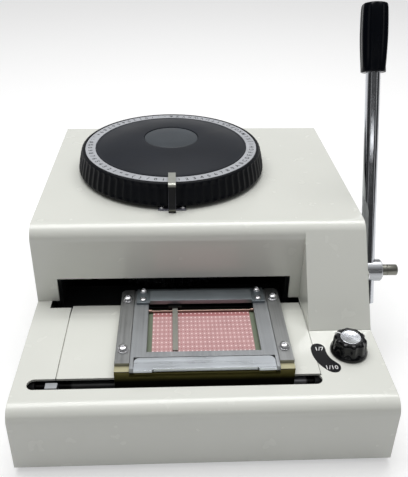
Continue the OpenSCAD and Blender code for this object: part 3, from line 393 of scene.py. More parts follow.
@dataclass(frozen=True)
class Banded(Finish):
    """Metal whose tint changes along one bench axis, and that can have painted highlights along its
    long edges.
    """

    bands: tuple[tuple[float, Rgb], ...] = ()
    axis: int = 2
    metal: float = 0.6
    painted_edge_highlight: tuple[float, float, Rgb] | None = None

    def skin(self, graph: Graph) -> Skin:
        """Colours the metal along the axis, lets the bands waver and stains them."""
        spots = graph.bench_axes()
        low, high = self.bands[0][0], self.bands[-1][0]
        drift = graph.noise(graph.place((18, 60, 60)), 1.0, 3)
        stain = graph.noise(graph.place(), 160, 3)
        level = ((spots[self.axis] - low + (drift - 0.5) * 0.4) / (high - low)).clamp()
        colour = graph.ramp(level, [((place - low) / (high - low), tint) for place, tint in self.bands])
        # Painted highlights along the long edges, where they catch the light.
        if self.painted_edge_highlight:
            middle, half, tint = self.painted_edge_highlight
            edge = ((spots[0] - middle).math("ABSOLUTE") - half).clamp() * (1.0 - level)
            colour = graph.blend(edge, colour, tint)
        colour = graph.blend(stain * 0.3, colour, shade(self.colour, 0.6))
        return Skin(colour, stain * 0.2 + (self.rough - 0.1), self.metal, height=stain, depth=0.004)


@dataclass(frozen=True)
class Plastic(Finish):
    """Moulded plastic or rubber with a fine spark-eroded texture."""

    texture: float = 0.012
    scale: float = 1500.0
    gloss: float = 0.5

    def skin(self, graph: Graph) -> Skin:
        """Textures the surface and dulls it in patches."""
        here = graph.place()
        pores = graph.noise(here, self.scale, 2)
        haze = graph.noise(here, 35, 3)
        colour = graph.blend(haze, shade(self.colour, 0.82), shade(self.colour, 1.22))
        rough = haze * 0.18 + (self.rough - 0.09)
        return Skin(colour, rough, height=pores, depth=self.texture, specular=self.gloss)


@dataclass(frozen=True)
class PrintedSheet(Finish):
    """Guide sheet printed with staggered light and dark dots, with a painted shadow across its rear."""

    light: Rgb = (0.95, 0.86, 0.86)
    dark: Rgb = (0.63, 0.38, 0.41)
    painted_shadow: Rgb = (0.66, 0.43, 0.43)
    painted_shadow_y: float = 101.5
    pitch: float = 3.6286
    row: float = 5.4
    corner: tuple[float, float] = (-41.0, 56.6)

    def dots(self, x: Wire, y: Wire, shift: tuple[float, float], radius: float) -> Wire:
        """Returns a mask of dots on a lattice.

        Args:
            x: place across, in millimetres.
            y: place along, in millimetres.
            shift: the first dot's place.
            radius: a dot's radius across; it is longer along.

        Returns:
            A wire that is 1 on the dots.
        """
        across = (((x - shift[0]) / self.pitch + 100.5).fract() - 0.5) * self.pitch
        along = (((y - shift[1]) / self.row + 100.5).fract() - 0.5) * (self.row * 0.85)
        out = (across * across + along * along).math("SQRT")
        return ((radius - out) * 2.5 + 0.5).clamp()

    def skin(self, graph: Graph) -> Skin:
        """Prints the dots on paper that is paler in places, and paints a shadow across its rear."""
        x, y, _ = graph.bench_axes()
        across, along = self.corner
        paper = graph.noise(graph.place(), 55, 3)
        colour = graph.blend(paper, shade(self.colour, 0.93), shade(self.colour, 1.08))
        # Painted shadow of the rod and bar over the rear of the sheet.
        colour = graph.blend((y - (self.painted_shadow_y - 0.5)).clamp(), colour, self.painted_shadow)
        half = (self.pitch / 2, self.row / 2)
        for shift, tint, radius in (
            ((across, along), self.light, 0.62),
            ((across + half[0], along + half[1]), self.dark, 0.48),
        ):
            colour = graph.blend(self.dots(x, y, shift, radius), colour, tint)
        fibre = graph.noise(graph.place(), 2500, 2)
        return Skin(colour, 0.55, height=fibre, depth=0.004, specular=0.35)


CASING = Enamel("casing_enamel", (0.885, 0.89, 0.862), 0.26, 0.8)
PLATE_PRIMER = Plastic("inner_primer", (0.17, 0.175, 0.18), 0.5, 0.5, 0.02, 700)
DULL_ZINC = Brushed("dull_zinc", (0.62, 0.63, 0.64), 0.42, contrast=0.12)
GROUND = Brushed("ground_steel", (0.76, 0.77, 0.79), 0.22, 0.3, Grain.ALONG_X, 0.06)
SCREW = Polished("nickel_screw", (0.86, 0.86, 0.87), 0.16, 0.2)
BRONZE = Brushed("oiled_bronze", (0.66, 0.47, 0.24), 0.34, 0.3, Grain.ALONG_Z, 0.12)
ARM = Brushed("arm_steel", (0.57, 0.575, 0.575), 0.38, 0.45, Grain.ALONG_Y, 0.10)
FRAME = Brushed("frame_steel", (0.61, 0.62, 0.63), 0.38, 0.45, Grain.ALONG_Y, 0.10)
CROSSBAR = Brushed("crossbar_steel", (0.53, 0.56, 0.58), 0.40, 0.6, Grain.ALONG_X, 0.10)
CLAMP = Brushed("clamp_steel", (0.80, 0.82, 0.84), 0.30, 0.5, Grain.ALONG_X, 0.08)
# The second colour is the dark reflection painted on the dial pointer's front.
OLIVE, PAINTED_REFLECTION_DARK = (0.50, 0.47, 0.25), (0.03, 0.035, 0.05)
# The tray's bands are painted light and shade by height: near black below 58 mm as painted shade down
# the front wall into the slot, a painted shadow line from 66.4 to 66.9 mm, and a light painted strip
# from 67.2 mm along the lit top of the bend.
TRAY = Banded(
    "yellow_zinc_painted_shade", (0.45, 0.42, 0.22), 0.34, 0.5,
    (
        (52.0, grey(0.01)), (56.6, grey(0.02)), (58.4, (0.26, 0.25, 0.13)), (60.2, (0.46, 0.44, 0.23)),
        (66.2, OLIVE), (66.4, (0.20, 0.18, 0.09)), (66.9, (0.24, 0.22, 0.11)),
        (67.2, (0.78, 0.76, 0.62)),
    ),
    metal=0.35,
)
BED = Banded(
    "bed_paint", (0.42, 0.45, 0.36), 0.45, 0.3,
    ((61.0, OLIVE), (64.0, OLIVE), (65.0, (0.43, 0.47, 0.39)), (67.0, (0.43, 0.47, 0.39))),
    metal=0.0,
)
SHEET = PrintedSheet("guide_sheet", (0.74, 0.575, 0.575), 0.55, 0.1)
BLACKENED = Brushed("blackened_steel", (0.13, 0.14, 0.15), 0.38, 0.3, Grain.ALONG_X, 0.2)
STRIP = Banded(
    "strip_steel", (0.45, 0.46, 0.42), 0.38, 0.2,
    ((50.0, (0.57, 0.57, 0.54)), (107.5, (0.56, 0.56, 0.53)), (108.2, grey(0.05)), (116.0, grey(0.05))),
    axis=1,
)
# The pointer's bands are painted light and shade: a light top and a light bend at its foot where light
# falls, a near-black front as a painted dark reflection, and painted highlights along its long edges.
POINTER_PAINTED_LIGHT = Banded(
    "pointer_painted_light", (0.03, 0.03, 0.04), 0.34, 0.4,
    (
        (136.0, (0.03, 0.03, 0.04)), (138.2, grey(0.05)), (138.8, (0.55, 0.55, 0.50)),
        (140.2, (0.25, 0.25, 0.26)), (141.6, PAINTED_REFLECTION_DARK), (162.8, (0.02, 0.02, 0.03)),
        (164.0, (0.70, 0.70, 0.66)), (166.5, (0.80, 0.81, 0.78)),
    ),
    painted_edge_highlight=(-24.15, 2.9, (0.55, 0.55, 0.60)),
)
# The rail's bands are painted light and shade along X: near black at both ends as painted shade where
# the slot's ends are dark, and painted lighter from 70 to 83 mm.
RAIL = Banded(
    "rail_painted_shade", grey(0.30), 0.34, 0.3,
    (
        (-140.0, grey(0.03)), (-107.0, grey(0.03)), (-105.0, grey(0.34)), (60.0, grey(0.38)),
        (70.0, (0.66, 0.66, 0.68)), (83.0, (0.66, 0.66, 0.68)), (84.5, grey(0.03)), (97.0, grey(0.03)),
    ),
    axis=0,
)
ROD = Polished("cross_rod", (0.60, 0.50, 0.46), 0.34, 0.2)
RUBBER = Plastic("foot_rubber", (0.07, 0.07, 0.07), 0.75, 0.5, 0.03, 900, 0.3)
RIM = Plastic("rim_black", (0.012, 0.02, 0.045), 0.42, 0.5, 0.004, 1200, 0.12)
KNOB = Plastic("knob_black", (0.02, 0.025, 0.035), 0.16, 0.4, 0.002, 500, 0.4)
GRIP = Plastic("grip_black", (0.01, 0.02, 0.045), 0.26, 0.5, 0.004, 900, 0.15)
FACE = Plastic("dial_face_black", (0.085, 0.10, 0.13), 0.52, 0.4, 0.01, 1800, 0.25)
BADGE = Plastic("badge_black", (0.21, 0.23, 0.25), 0.46, 0.3, 0.005, 2400, 0.35)
LABEL = Plastic("label_black", (0.03, 0.035, 0.05), 0.4, 0.3, 0.004, 900, 0.15)
PRINT_WHITE = Plastic("print_white", (0.88, 0.89, 0.9), 0.5, 0.05, 0.002)
PRINT_DARK = Plastic("print_dark", (0.10, 0.11, 0.13), 0.5, 0.05, 0.002)
RING = Spun("ring_silver", (0.76, 0.77, 0.79), 0.42, 0.3, (-24.8, 265.2), 0.9, metal=0.25)
# The cap's last number paints a strong bow-tie highlight into its colour.
CAP = Spun("spun_cap", (0.85, 0.86, 0.88), 0.26, 0.2, (123.4, 60.8), 0.55, 0.7)
HUB = Brushed("hub_aluminium", (0.68, 0.69, 0.70), 0.30, 0.5, Grain.ALONG_X, 0.08)
PIN = Brushed("pin_steel", (0.34, 0.34, 0.35), 0.36, 0.2, Grain.ALONG_Z, 0.1)
STUB = Brushed("stub_steel", (0.50, 0.50, 0.47), 0.38, 0.4, Grain.ALONG_X, 0.14)
CHROME = Polished("chrome_rod", (0.80, 0.81, 0.83), 0.09, 0.3)


# Mesh building ---------------------------------------------------------------


def turned(profile: Profile, steps: int, closed: bool = False) -> bmesh.types.BMesh:
    """Turns a profile of radius and height about the Z axis.

    Args:
        profile: points in millimetres, on bench scale.
        steps: segments of the full turn.
        closed: whether the last point joins the first.

    Returns:
        The turned mesh, in millimetres.
    """
    bm = bmesh.new()
    points = [bm.verts.new((r, 0.0, z)) for r, z in profile]
    ends = points[1:] + (points[:1] if closed else [])
    edges = [bm.edges.new(pair) for pair in zip(points, ends)]
    bmesh.ops.spin(
        bm, geom=points + edges, cent=(0, 0, 0), axis=(0, 0, 1),
        angle=math.tau, steps=steps, use_merge=True,
    )
    bmesh.ops.remove_doubles(bm, verts=bm.verts, dist=0.0005)
    bmesh.ops.recalc_face_normals(bm, faces=bm.faces)
    return bm


def ease(value: float, low: float, high: float) -> float:
    """Rises smoothly from 0 at low to 1 at high."""
    share = min(1.0, max(0.0, (value - low) / (high - low)))
    return share * share * (3 - 2 * share)


def press_flutes(
    bm: bmesh.types.BMesh,
    count: int,
    depth: float,
    inside: float,
    hollow: Callable[[float], float],
    reach: Callable[[float], float],
) -> None:
    """Presses flutes into a turned mesh about the Z axis.

    Args:
        bm: the mesh, in millimetres.
        count: flutes round the turn.
        depth: depth of a flute in millimetres.
        inside: radius within which nothing moves.
        hollow: share of the depth by the place within a flute, from 0 to 1.
        reach: share of the depth by height.
    """
    for vert in bm.verts:
        out = math.hypot(vert.co.x, vert.co.y)
        if out < inside:
            continue
        share = (math.degrees(math.atan2(vert.co.y, vert.co.x)) * count / 360) % 1.0
        cut = 1 - depth * hollow(share) * reach(vert.co.z) / out
        vert.co.x *= cut
        vert.co.y *= cut


def scallop(width: float) -> Callable[[float], float]:
    """Returns the section of a round flute between ribs, as wide as a share of its pitch."""
    return lambda share: max(0.0, 1 - (min(share, 1 - share) * 2 / width) ** 2)


def lettering(text: str, height: float, thick: float) -> bmesh.types.BMesh:
    """Returns a plain figure or letter about the origin, in millimetres."""
    curve = bpy.data.curves.new("figure", "FONT")
    curve.body, curve.size = text, height * 1.4
    curve.align_x, curve.align_y = "CENTER", "CENTER"
    curve.extrude, curve.resolution_u, curve.offset = thick / 2, 2, 0.015 * height
    holder = bpy.data.objects.new("figure", curve)
    mesh = bpy.data.meshes.new_from_object(holder)
    bm = bmesh.new()
    bm.from_mesh(mesh)
    bpy.data.objects.remove(holder)
    bpy.data.curves.remove(curve)
    bpy.data.meshes.remove(mesh)
    return bm


def joined(parts: list[tuple[bmesh.types.BMesh, Matrix]]) -> bmesh.types.BMesh:
    """Joins meshes, each moved by its matrix, and frees them."""
    whole = bmesh.new()
    for part, matrix in parts:
        bmesh.ops.transform(part, matrix=matrix, verts=part.verts)
        mesh = bpy.data.meshes.new("part")
        part.to_mesh(mesh)
        part.free()
        whole.from_mesh(mesh)
        bpy.data.meshes.remove(mesh)
    return whole


def at(x: float, y: float, z: float) -> Matrix:
    """Returns a shift in millimetres."""
    return Matrix.Translation((x, y, z))


class Assembly(ABC):
    """A sub-assembly that dresses its CAD nodes and models its own pieces."""

    @abstractmethod
    def build(self) -> None:
        """Makes and dresses everything in the sub-assembly."""

    def dress(self, finish: Finish, *nodes: str) -> None:
        """Gives CAD nodes a finish."""
        for name in nodes:
            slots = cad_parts[name].data.materials
            slots.clear()
            slots.append(finish.material())
            log.info("%s dressed in %s", name, finish.name)

    def piece(
        self,
        bm: bmesh.types.BMesh,
        name: str,
        body: Body,
        slot: str,
        finish: Finish,
        stands_for: tuple[str, ...] = (),
        sharp: float = 32.0,
    ) -> bpy.types.Object:
        """Places a mesh on the machine as a finished piece.

        Args:
            bm: the mesh in bench millimetres; it is freed.
            name: the piece's name.
            body: the body it moves with.
            slot: the record's material slot of its finish; it is not used.
            finish: its finish.
            stands_for: CAD nodes that it replaces.
            sharp: angle in degrees from which an edge stays sharp.

        Returns:
            The piece's object.
        """
        bmesh.ops.transform(bm, matrix=Matrix.Scale(MM, 4) @ at(0, -HALF_DEPTH, 0), verts=bm.verts)
        for face in bm.faces:
            face.smooth = True
        for edge in bm.edges:
            edge.smooth = edge.is_manifold and edge.calc_face_angle(0.0) < math.radians(sharp)
        mesh = bpy.data.meshes.new(name)
        bm.to_mesh(mesh)
        bm.free()
        mesh.materials.append(finish.material())
        made = bpy.data.objects.new(name, mesh)
        bpy.context.scene.collection.objects.link(made)
        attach(made, body.value)
        if stands_for:
            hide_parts(*stands_for)
        log.info("%s made, %d faces", name, len(mesh.polygons))
        return made


@dataclass
class Casing(Assembly):
    """Enamelled sheets, base plate and feet."""

    def build(self) -> None:
        """Dresses the sheets and what they stand on."""
        self.dress(CASING, "base_casing", "deck_plate", "head_cover", "lever_plate")
        self.dress(DULL_ZINC, "base_plate", "margin_stop")
        # The stop rail is dressed near black as painted shade in the slot.
        self.dress(BLACKENED, "stop_rail")
        self.dress(RUBBER, "rubber_feet")
        self.dress(SCREW, "casing_screws")


@dataclass
class PressFrame(Assembly):
    """Frames, rails, wheels and the press inside the casing."""

    def build(self) -> None:
        """Dresses the inner parts."""
        self.dress(PLATE_PRIMER, "side_frames", "top_plate", "lower_plate")
        self.dress(PLATE_PRIMER, "rail_brackets", "lever_pedestal")
        self.dress(BLACKENED, "frame_screws", "press_cams", "upper_rocker", "lower_rocker")
        self.dress(BRONZE, "bronze_bushes", "rail_blocks")
        self.dress(RAIL, "carriage_rails")
        self.dress(GROUND, "rocker_pins", "wheel_shaft", "punch_wheel", "die_wheel")
        self.dress(PIN, "punch_pins", "die_pins", "struck_punch", "struck_die")
        self.dress(GROUND, "press_ram", "press_anvil", "selector_shaft", "detent_plunger")
        self.dress(DULL_ZINC, "spacing_rack", "spacing_pawl")


@dataclass
class Dial(Assembly):
    """Hand rim, scale ring, domed face and badge on top of the type wheel."""

    x: float = -24.8
    y: float = 265.2
    foot: float = 139.7
    rim_r: float = 96.0
    rim_h: float = 22.4
    flat: float = 1.5
    ring_w: float = 10.4
    rise: float = 8.4
    badge_r: float = 27.5
    count: int = 72
    flute: float = 1.15
    hub_r: float = 14.0

    @property
    def ring_r(self) -> float:
        """Outer radius of the scale ring."""
        return self.rim_r - 6 - self.flat - 0.3

    @property
    def ring_in(self) -> float:
        """Inner radius of the scale ring."""
        return self.ring_r - self.ring_w

    @property
    def ring_top(self) -> float:
        """Height of the scale ring's top."""
        return self.foot + self.rim_h - 0.3

    def build(self) -> None:
        """Models the dial's pieces."""
        centre = at(self.x, self.y, 0)
        for bm, name, slot, finish, node in (
            (self.rim(), "fluted_rim", "rim_black", RIM, "dial_rim"),
            (self.ring(), "silver_ring", "ring_silver", RING, "scale_ring"),
            (self.face(), "domed_face", "dial_dark", FACE, "dial_face"),
            (self.badge(), "bare_badge", "badge_dark", BADGE, "dial_badge"),
        ):
            bmesh.ops.transform(bm, matrix=centre, verts=bm.verts)
            self.piece(bm, name, Body.WHEEL, slot, finish, (node,))
        self.piece(self.characters(), "ring_characters", Body.WHEEL, "dial_dark", PRINT_DARK)
        # The pointer's finish paints its light and shade into its colour.
        self.dress(POINTER_PAINTED_LIGHT, "dial_pointer")

    def rim(self) -> bmesh.types.BMesh:
        """Turns the rim and presses the flutes into its slope."""
        low, top = self.foot, self.foot + self.rim_h
        crest, seat, inner = self.rim_r - 6, top - 2.3, self.ring_in - 4
        wall = [
            (self.rim_r - 1.6, low), (self.rim_r - 0.6, low + 0.4), (self.rim_r, low + 1.6),
            (self.rim_r - 0.05, low + 3), (self.rim_r - 0.3, low + 5), (self.rim_r - 0.9, low + 8),
            (self.rim_r - 1.7, low + 12), (self.rim_r - 2.6, low + 16), (self.rim_r - 3.4, low + 19),
            (crest + 2.1, top - 1.5), (crest + 1.2, top - 0.6), (crest + 0.3, top - 0.1),
            (crest - 0.4, top),
        ]
        profile = [(self.hub_r, low + 8), (inner, low + 8), (inner, low), *wall]
        profile += [(self.ring_r + 0.3, top), (self.ring_r + 0.3, seat), (inner, seat)]
        profile += [(inner, low + 13), (self.hub_r, low + 13)]
        bm = turned(profile, self.count * 8, closed=True)
        section = scallop(0.78)
        press_flutes(
            bm, self.count, self.flute, crest + 0.8,
            hollow=lambda share: section(share) ** 0.8,
            reach=lambda z: ease(z, low + 1.2, low + 3.4) * (1 - ease(z, top - 3.2, top - 0.8)),
        )
        return bm

    def ring(self) -> bmesh.types.BMesh:
        """Turns the ring with eased edges."""
        low, top, a, b = self.ring_top - 2, self.ring_top, self.ring_in, self.ring_r
        ease_r = 0.25
        upper = [(b, top - ease_r), (b - ease_r, top), (a + ease_r, top), (a, top - ease_r)]
        return turned([(a, low), (b, low), *upper], 180, closed=True)

    def face(self) -> bmesh.types.BMesh:
        """Turns the domed face with its step down to the ring and a groove round the badge."""
        edge, base = self.ring_in - 0.3, self.ring_top
        steps, peak, start, badge = 28, base + self.rise, edge - 0.5, self.badge_r
        span = start - badge - 0.8
        dome = [
            (start - span * i / steps, base + self.rise * math.sin(math.pi / 2 * i / steps))
            for i in range(1, steps + 1)
        ]
        profile = [(0, peak - 1.8), (badge + 0.3, peak - 1.8), (badge + 0.35, peak - 0.15)]
        profile += [*reversed(dome), (edge - 0.12, base + 0.5), (edge, base), (edge, base - 2)]
        profile += [(edge - 4, base - 2), (edge - 4, base - 5), (0, base - 5)]
        return turned(profile, 144)

    def badge(self) -> bmesh.types.BMesh:
        """Turns the bare badge, slightly crowned, with a soft edge."""
        r, top = self.badge_r, self.ring_top + self.rise
        low = top - 1.8
        side = [(0, low), (r, low), (r, top - 0.9), (r - 0.2, top - 0.6)]
        crown = [(r - 0.6, top - 0.42), (r - 1.5, top - 0.2), (r / 2, top + 0.1), (0, top + 0.28)]
        return turned(side + crown, 96)

    def characters(self) -> bmesh.types.BMesh:
        """Lays out one plain character for each punch round the ring."""
        signs = "0123456789ABCDEFGHIJKLMNOPQRSTUVWXYZ&-./0123456789+,:#%0987654321*=()/"
        tall, thick = 4.6, 0.06
        middle = (self.ring_r + self.ring_in) / 2 + 0.6
        parts = []
        for i in range(self.count):
            spin = Matrix.Rotation(math.radians(i * 360 / self.count - 90), 4, "Z")
            stand = at(middle, 0, self.ring_top + 0.03) @ Matrix.Rotation(math.pi / 2, 4, "Z")
            place = at(self.x, self.y, 0) @ spin @ stand
            parts.append((lettering(signs[i % len(signs)], tall, thick), place))
        return joined(parts)


@dataclass
class PullLever(Assembly):
    """Hub, chromed rod, fluted grip and the shaft's end."""

    y: float = 162.0
    z: float = 71.5
    rod_x: float = 166.0
    lean: float = 22.3
    grip_start: float = 189.5
    grip_l: float = 63.0
    grip_d: float = 26.5
    rod_r: float = 6.85
    flutes: int = 9
    flute: float = 0.95
    hub_end: float = 178.7
    shaft_start: float = 95.0
    shaft_r: float = 8.0
    stub_r: float = 5.4
    pin_x: float = 188.6

    def build(self) -> None:
        """Models the grip and the shaft's end, and dresses the rest."""
        self.dress(HUB, "lever_hub")
        self.dress(CHROME, "lever_rod")
        self.dress(GROUND, "lever_shaft")
        up = at(self.rod_x, self.y, self.z) @ Matrix.Rotation(math.radians(-self.lean), 4, "X")
        grip = self.grip()
        bmesh.ops.transform(grip, matrix=up, verts=grip.verts)
        self.piece(grip, "fluted_grip", Body.LEVER, "grip_black", GRIP, ("lever_grip",))
        self.piece(self.shaft(), "grooved_shaft", Body.LEVER, "bright_steel", STUB, ("lever_shaft",))
        self.piece(self.pin(), "stub_pin", Body.LEVER, "dark_steel", BLACKENED)

    def grip(self) -> bmesh.types.BMesh:
        """Turns the grip and presses soft flutes into it."""
        d, l, s = self.grip_d, self.grip_l, self.grip_start
        curve = [
            (0.42, 0.0), (0.435, 0.5), (0.44, 1.5), (0.45, 6), (0.47, 14), (0.485, 22), (0.497, 30),
            (0.5, 36), (0.498, 44), (0.493, 50), (0.487, 55), (0.48, 58.5), (0.468, 60.4),
            (0.445, 61.8), (0.41, 62.6), (0.35, 62.95), (0.2, 63.0), (0.0, 63.0),
        ]
        profile = [(self.rod_r + 0.05, s)] + [(r * d, h * l / curve[-1][1] + s) for r, h in curve]
        bm = turned(profile, self.flutes * 16)
        bmesh.ops.holes_fill(bm, edges=[e for e in bm.edges if e.is_boundary])
        press_flutes(
            bm, self.flutes, self.flute, d * 0.36,
            hollow=lambda share: max(0.0, math.cos((share - 0.5) * math.pi)) ** 1.6,
            reach=lambda z: ease(z - s, 1.0, 8.0) * (1 - ease(z - s, l - 3.2, l - 0.4) * 0.75),
        )
        return bm

    def shaft(self) -> bmesh.types.BMesh:
        """Turns the lever shaft with the groove and domed end of its stub."""
        end, stub, big, start = self.hub_end, self.stub_r, self.shaft_r, self.shaft_start
        profile = [
            (0.0, start), (big - 0.5, start), (big, start + 0.5), (big, end - 0.4), (big - 0.4, end),
            (stub - 0.9, end), (stub - 0.9, end + 1.3), (stub, end + 1.5), (stub, end + 5.2),
            (stub - 0.35, end + 5.5), (stub - 0.35, end + 6.1), (stub, end + 6.4),
            (stub, end + 15.2), (stub - 0.4, end + 16), (stub - 1.4, end + 16.5), (0.0, end + 16.6),
        ]
        bm = turned(profile, 64)
        across = at(0, self.y, self.z) @ Matrix.Rotation(math.pi / 2, 4, "Y")
        bmesh.ops.transform(bm, matrix=across, verts=bm.verts)
        return bm

    def pin(self) -> bmesh.types.BMesh:
        """Turns the dark cross pin of the stub."""
        bm = turned([(0, -5.2), (0.9, -5.2), (1.3, -4.9), (1.3, 4.9), (0.9, 5.2), (0, 5.2)], 20)
        tilt = at(self.pin_x, self.y, self.z) @ Matrix.Rotation(math.radians(60), 4, "X")
        bmesh.ops.transform(bm, matrix=tilt, verts=bm.verts)
        return bm


class ScrewMaker:
    """Makes domed pan-head screws with a cross recess."""

    def head(self, diameter: float, shank: float) -> bmesh.types.BMesh:
        """Makes a screw whose head sits on z = 0.

        Args:
            diameter: thread diameter in millimetres.
            shank: length below the head.

        Returns:
            The screw about the Z axis.
        """
        radius, height, steps = diameter * 0.95, diameter * 0.6, 24
        turns = [math.radians(90 * i / steps) for i in range(steps)]
        dome = [(radius * math.cos(a), height * (0.3 + 0.7 * math.sin(a))) for a in turns]
        thread = diameter / 2
        foot = [(0, -shank), (thread, -shank), (thread, 0), (radius - 0.15, 0), (radius, 0.15)]
        bm = turned(foot + dome + [(0, height)], 64)
        for vert in bm.verts:
            if vert.co.z < height * 0.5:
                continue
            near, far = sorted((abs(vert.co.x), abs(vert.co.y)))
            beside = ease(near, radius * 0.09, radius * 0.17)
            beyond = ease(far, radius * 0.42, radius * 0.5)
            vert.co.z -= height * 0.38 * (1 - max(beside, beyond))
        return bm


@dataclass
class Carriage(Assembly):
    """Zinc tray, steel arms and their screws."""

    centre: float = 0.9
    half: float = 71.9
    arm: float = 11.8
    top: float = 70.5
    screw_y: tuple[float, float] = (54.5, 121.3)
    screw_d: float = 4.0
    shank: float = 6.3
    washer_t: float = 1.8

    def build(self) -> None:
        """Dresses tray and arms and models the screws with their washers."""
        self.dress(TRAY, "carriage_tray")
        self.dress(ARM, "carriage_arms")
        maker, parts = ScrewMaker(), []
        for side in (-1, 1):
            for i, y in enumerate(self.screw_y):
                spot = at(self.centre + side * (self.half - self.arm / 2), y, self.top)
                turn = Matrix.Rotation(0.5 + side * 0.7 + i * 1.1, 4, "Z")
                parts.append((self.washer(), spot))
                raised = spot @ at(0, 0, self.washer_t) @ turn
                parts.append((maker.head(self.screw_d, self.shank), raised))
        screws = joined(parts)
        self.piece(screws, "domed_arm_screws", Body.CARRIAGE, "screw_steel", SCREW, ("arm_screws",))

    def washer(self) -> bmesh.types.BMesh:
        """Turns a flat washer and the spring washer on it."""
        a, b, top = self.screw_d / 2 + 0.05, self.screw_d * 0.95 + 0.7, self.washer_t
        flat = [(b - 0.1, 0), (b, 0.15), (b, 0.65), (b - 0.2, 0.8)]
        spring = [(b - 0.85, 0.84), (b - 0.8, 1.0), (b - 0.8, top - 0.1), (b - 0.9, top)]
        return turned([(a, 0), *flat, *spring, (a, top)], 40, closed=True)


@dataclass
class CardHolder(Assembly):
    """Frame, crossbar, bed with the guide sheet, clamp and pointer."""

    centre: float = 0.9
    screw_x: float = 51.95
    screw_y: tuple[float, float] = (118.3, 129.8)
    tab_top: float = 72.7
    screw_d: float = 3.0
    front_shank: float = 8
    rear_shank: float = 9.4
    collar_t: float = 1.4

    def build(self) -> None:
        """Dresses the holder and models the crossbar's screws."""
        self.dress(FRAME, "card_frame")
        self.dress(CROSSBAR, "crossbar")
        self.dress(BED, "card_bed")
        self.dress(SHEET, "grid_sheet")
        self.dress(ROD, "rear_rod")
        self.dress(BLACKENED, "pointer_rail", "card_jaw")
        self.dress(STRIP, "line_pointer")
        self.dress(CLAMP, "clamp_bar")
        maker, parts = ScrewMaker(), []
        for side in (-1, 1):
            x = self.centre + side * self.screw_x
            low, high = (at(x, y, self.tab_top) for y in self.screw_y)
            turns = [Matrix.Rotation(angle, 4, "Z") for angle in (0.3 + side, 0.9 * side)]
            parts.append((maker.head(self.screw_d, self.front_shank), low @ turns[0]))
            parts.append((self.collar(), high))
            raised = high @ at(0, 0, self.collar_t) @ turns[1]
            parts.append((maker.head(self.screw_d, self.rear_shank), raised))
        screws, nodes = joined(parts), ("crossbar_screws",)
        self.piece(screws, "domed_bar_screws", Body.HOLDER, "screw_steel", SCREW, nodes)

    def collar(self) -> bmesh.types.BMesh:
        """Turns the thick washer below a rear screw."""
        a, b, top = self.screw_d / 2 + 0.05, self.screw_d * 0.95 + 0.5, self.collar_t
        profile = [(a, 0), (b - 0.1, 0), (b, 0.1), (b, top - 0.2), (b - 0.2, top), (a, top)]
        return turned(profile, 40, closed=True)


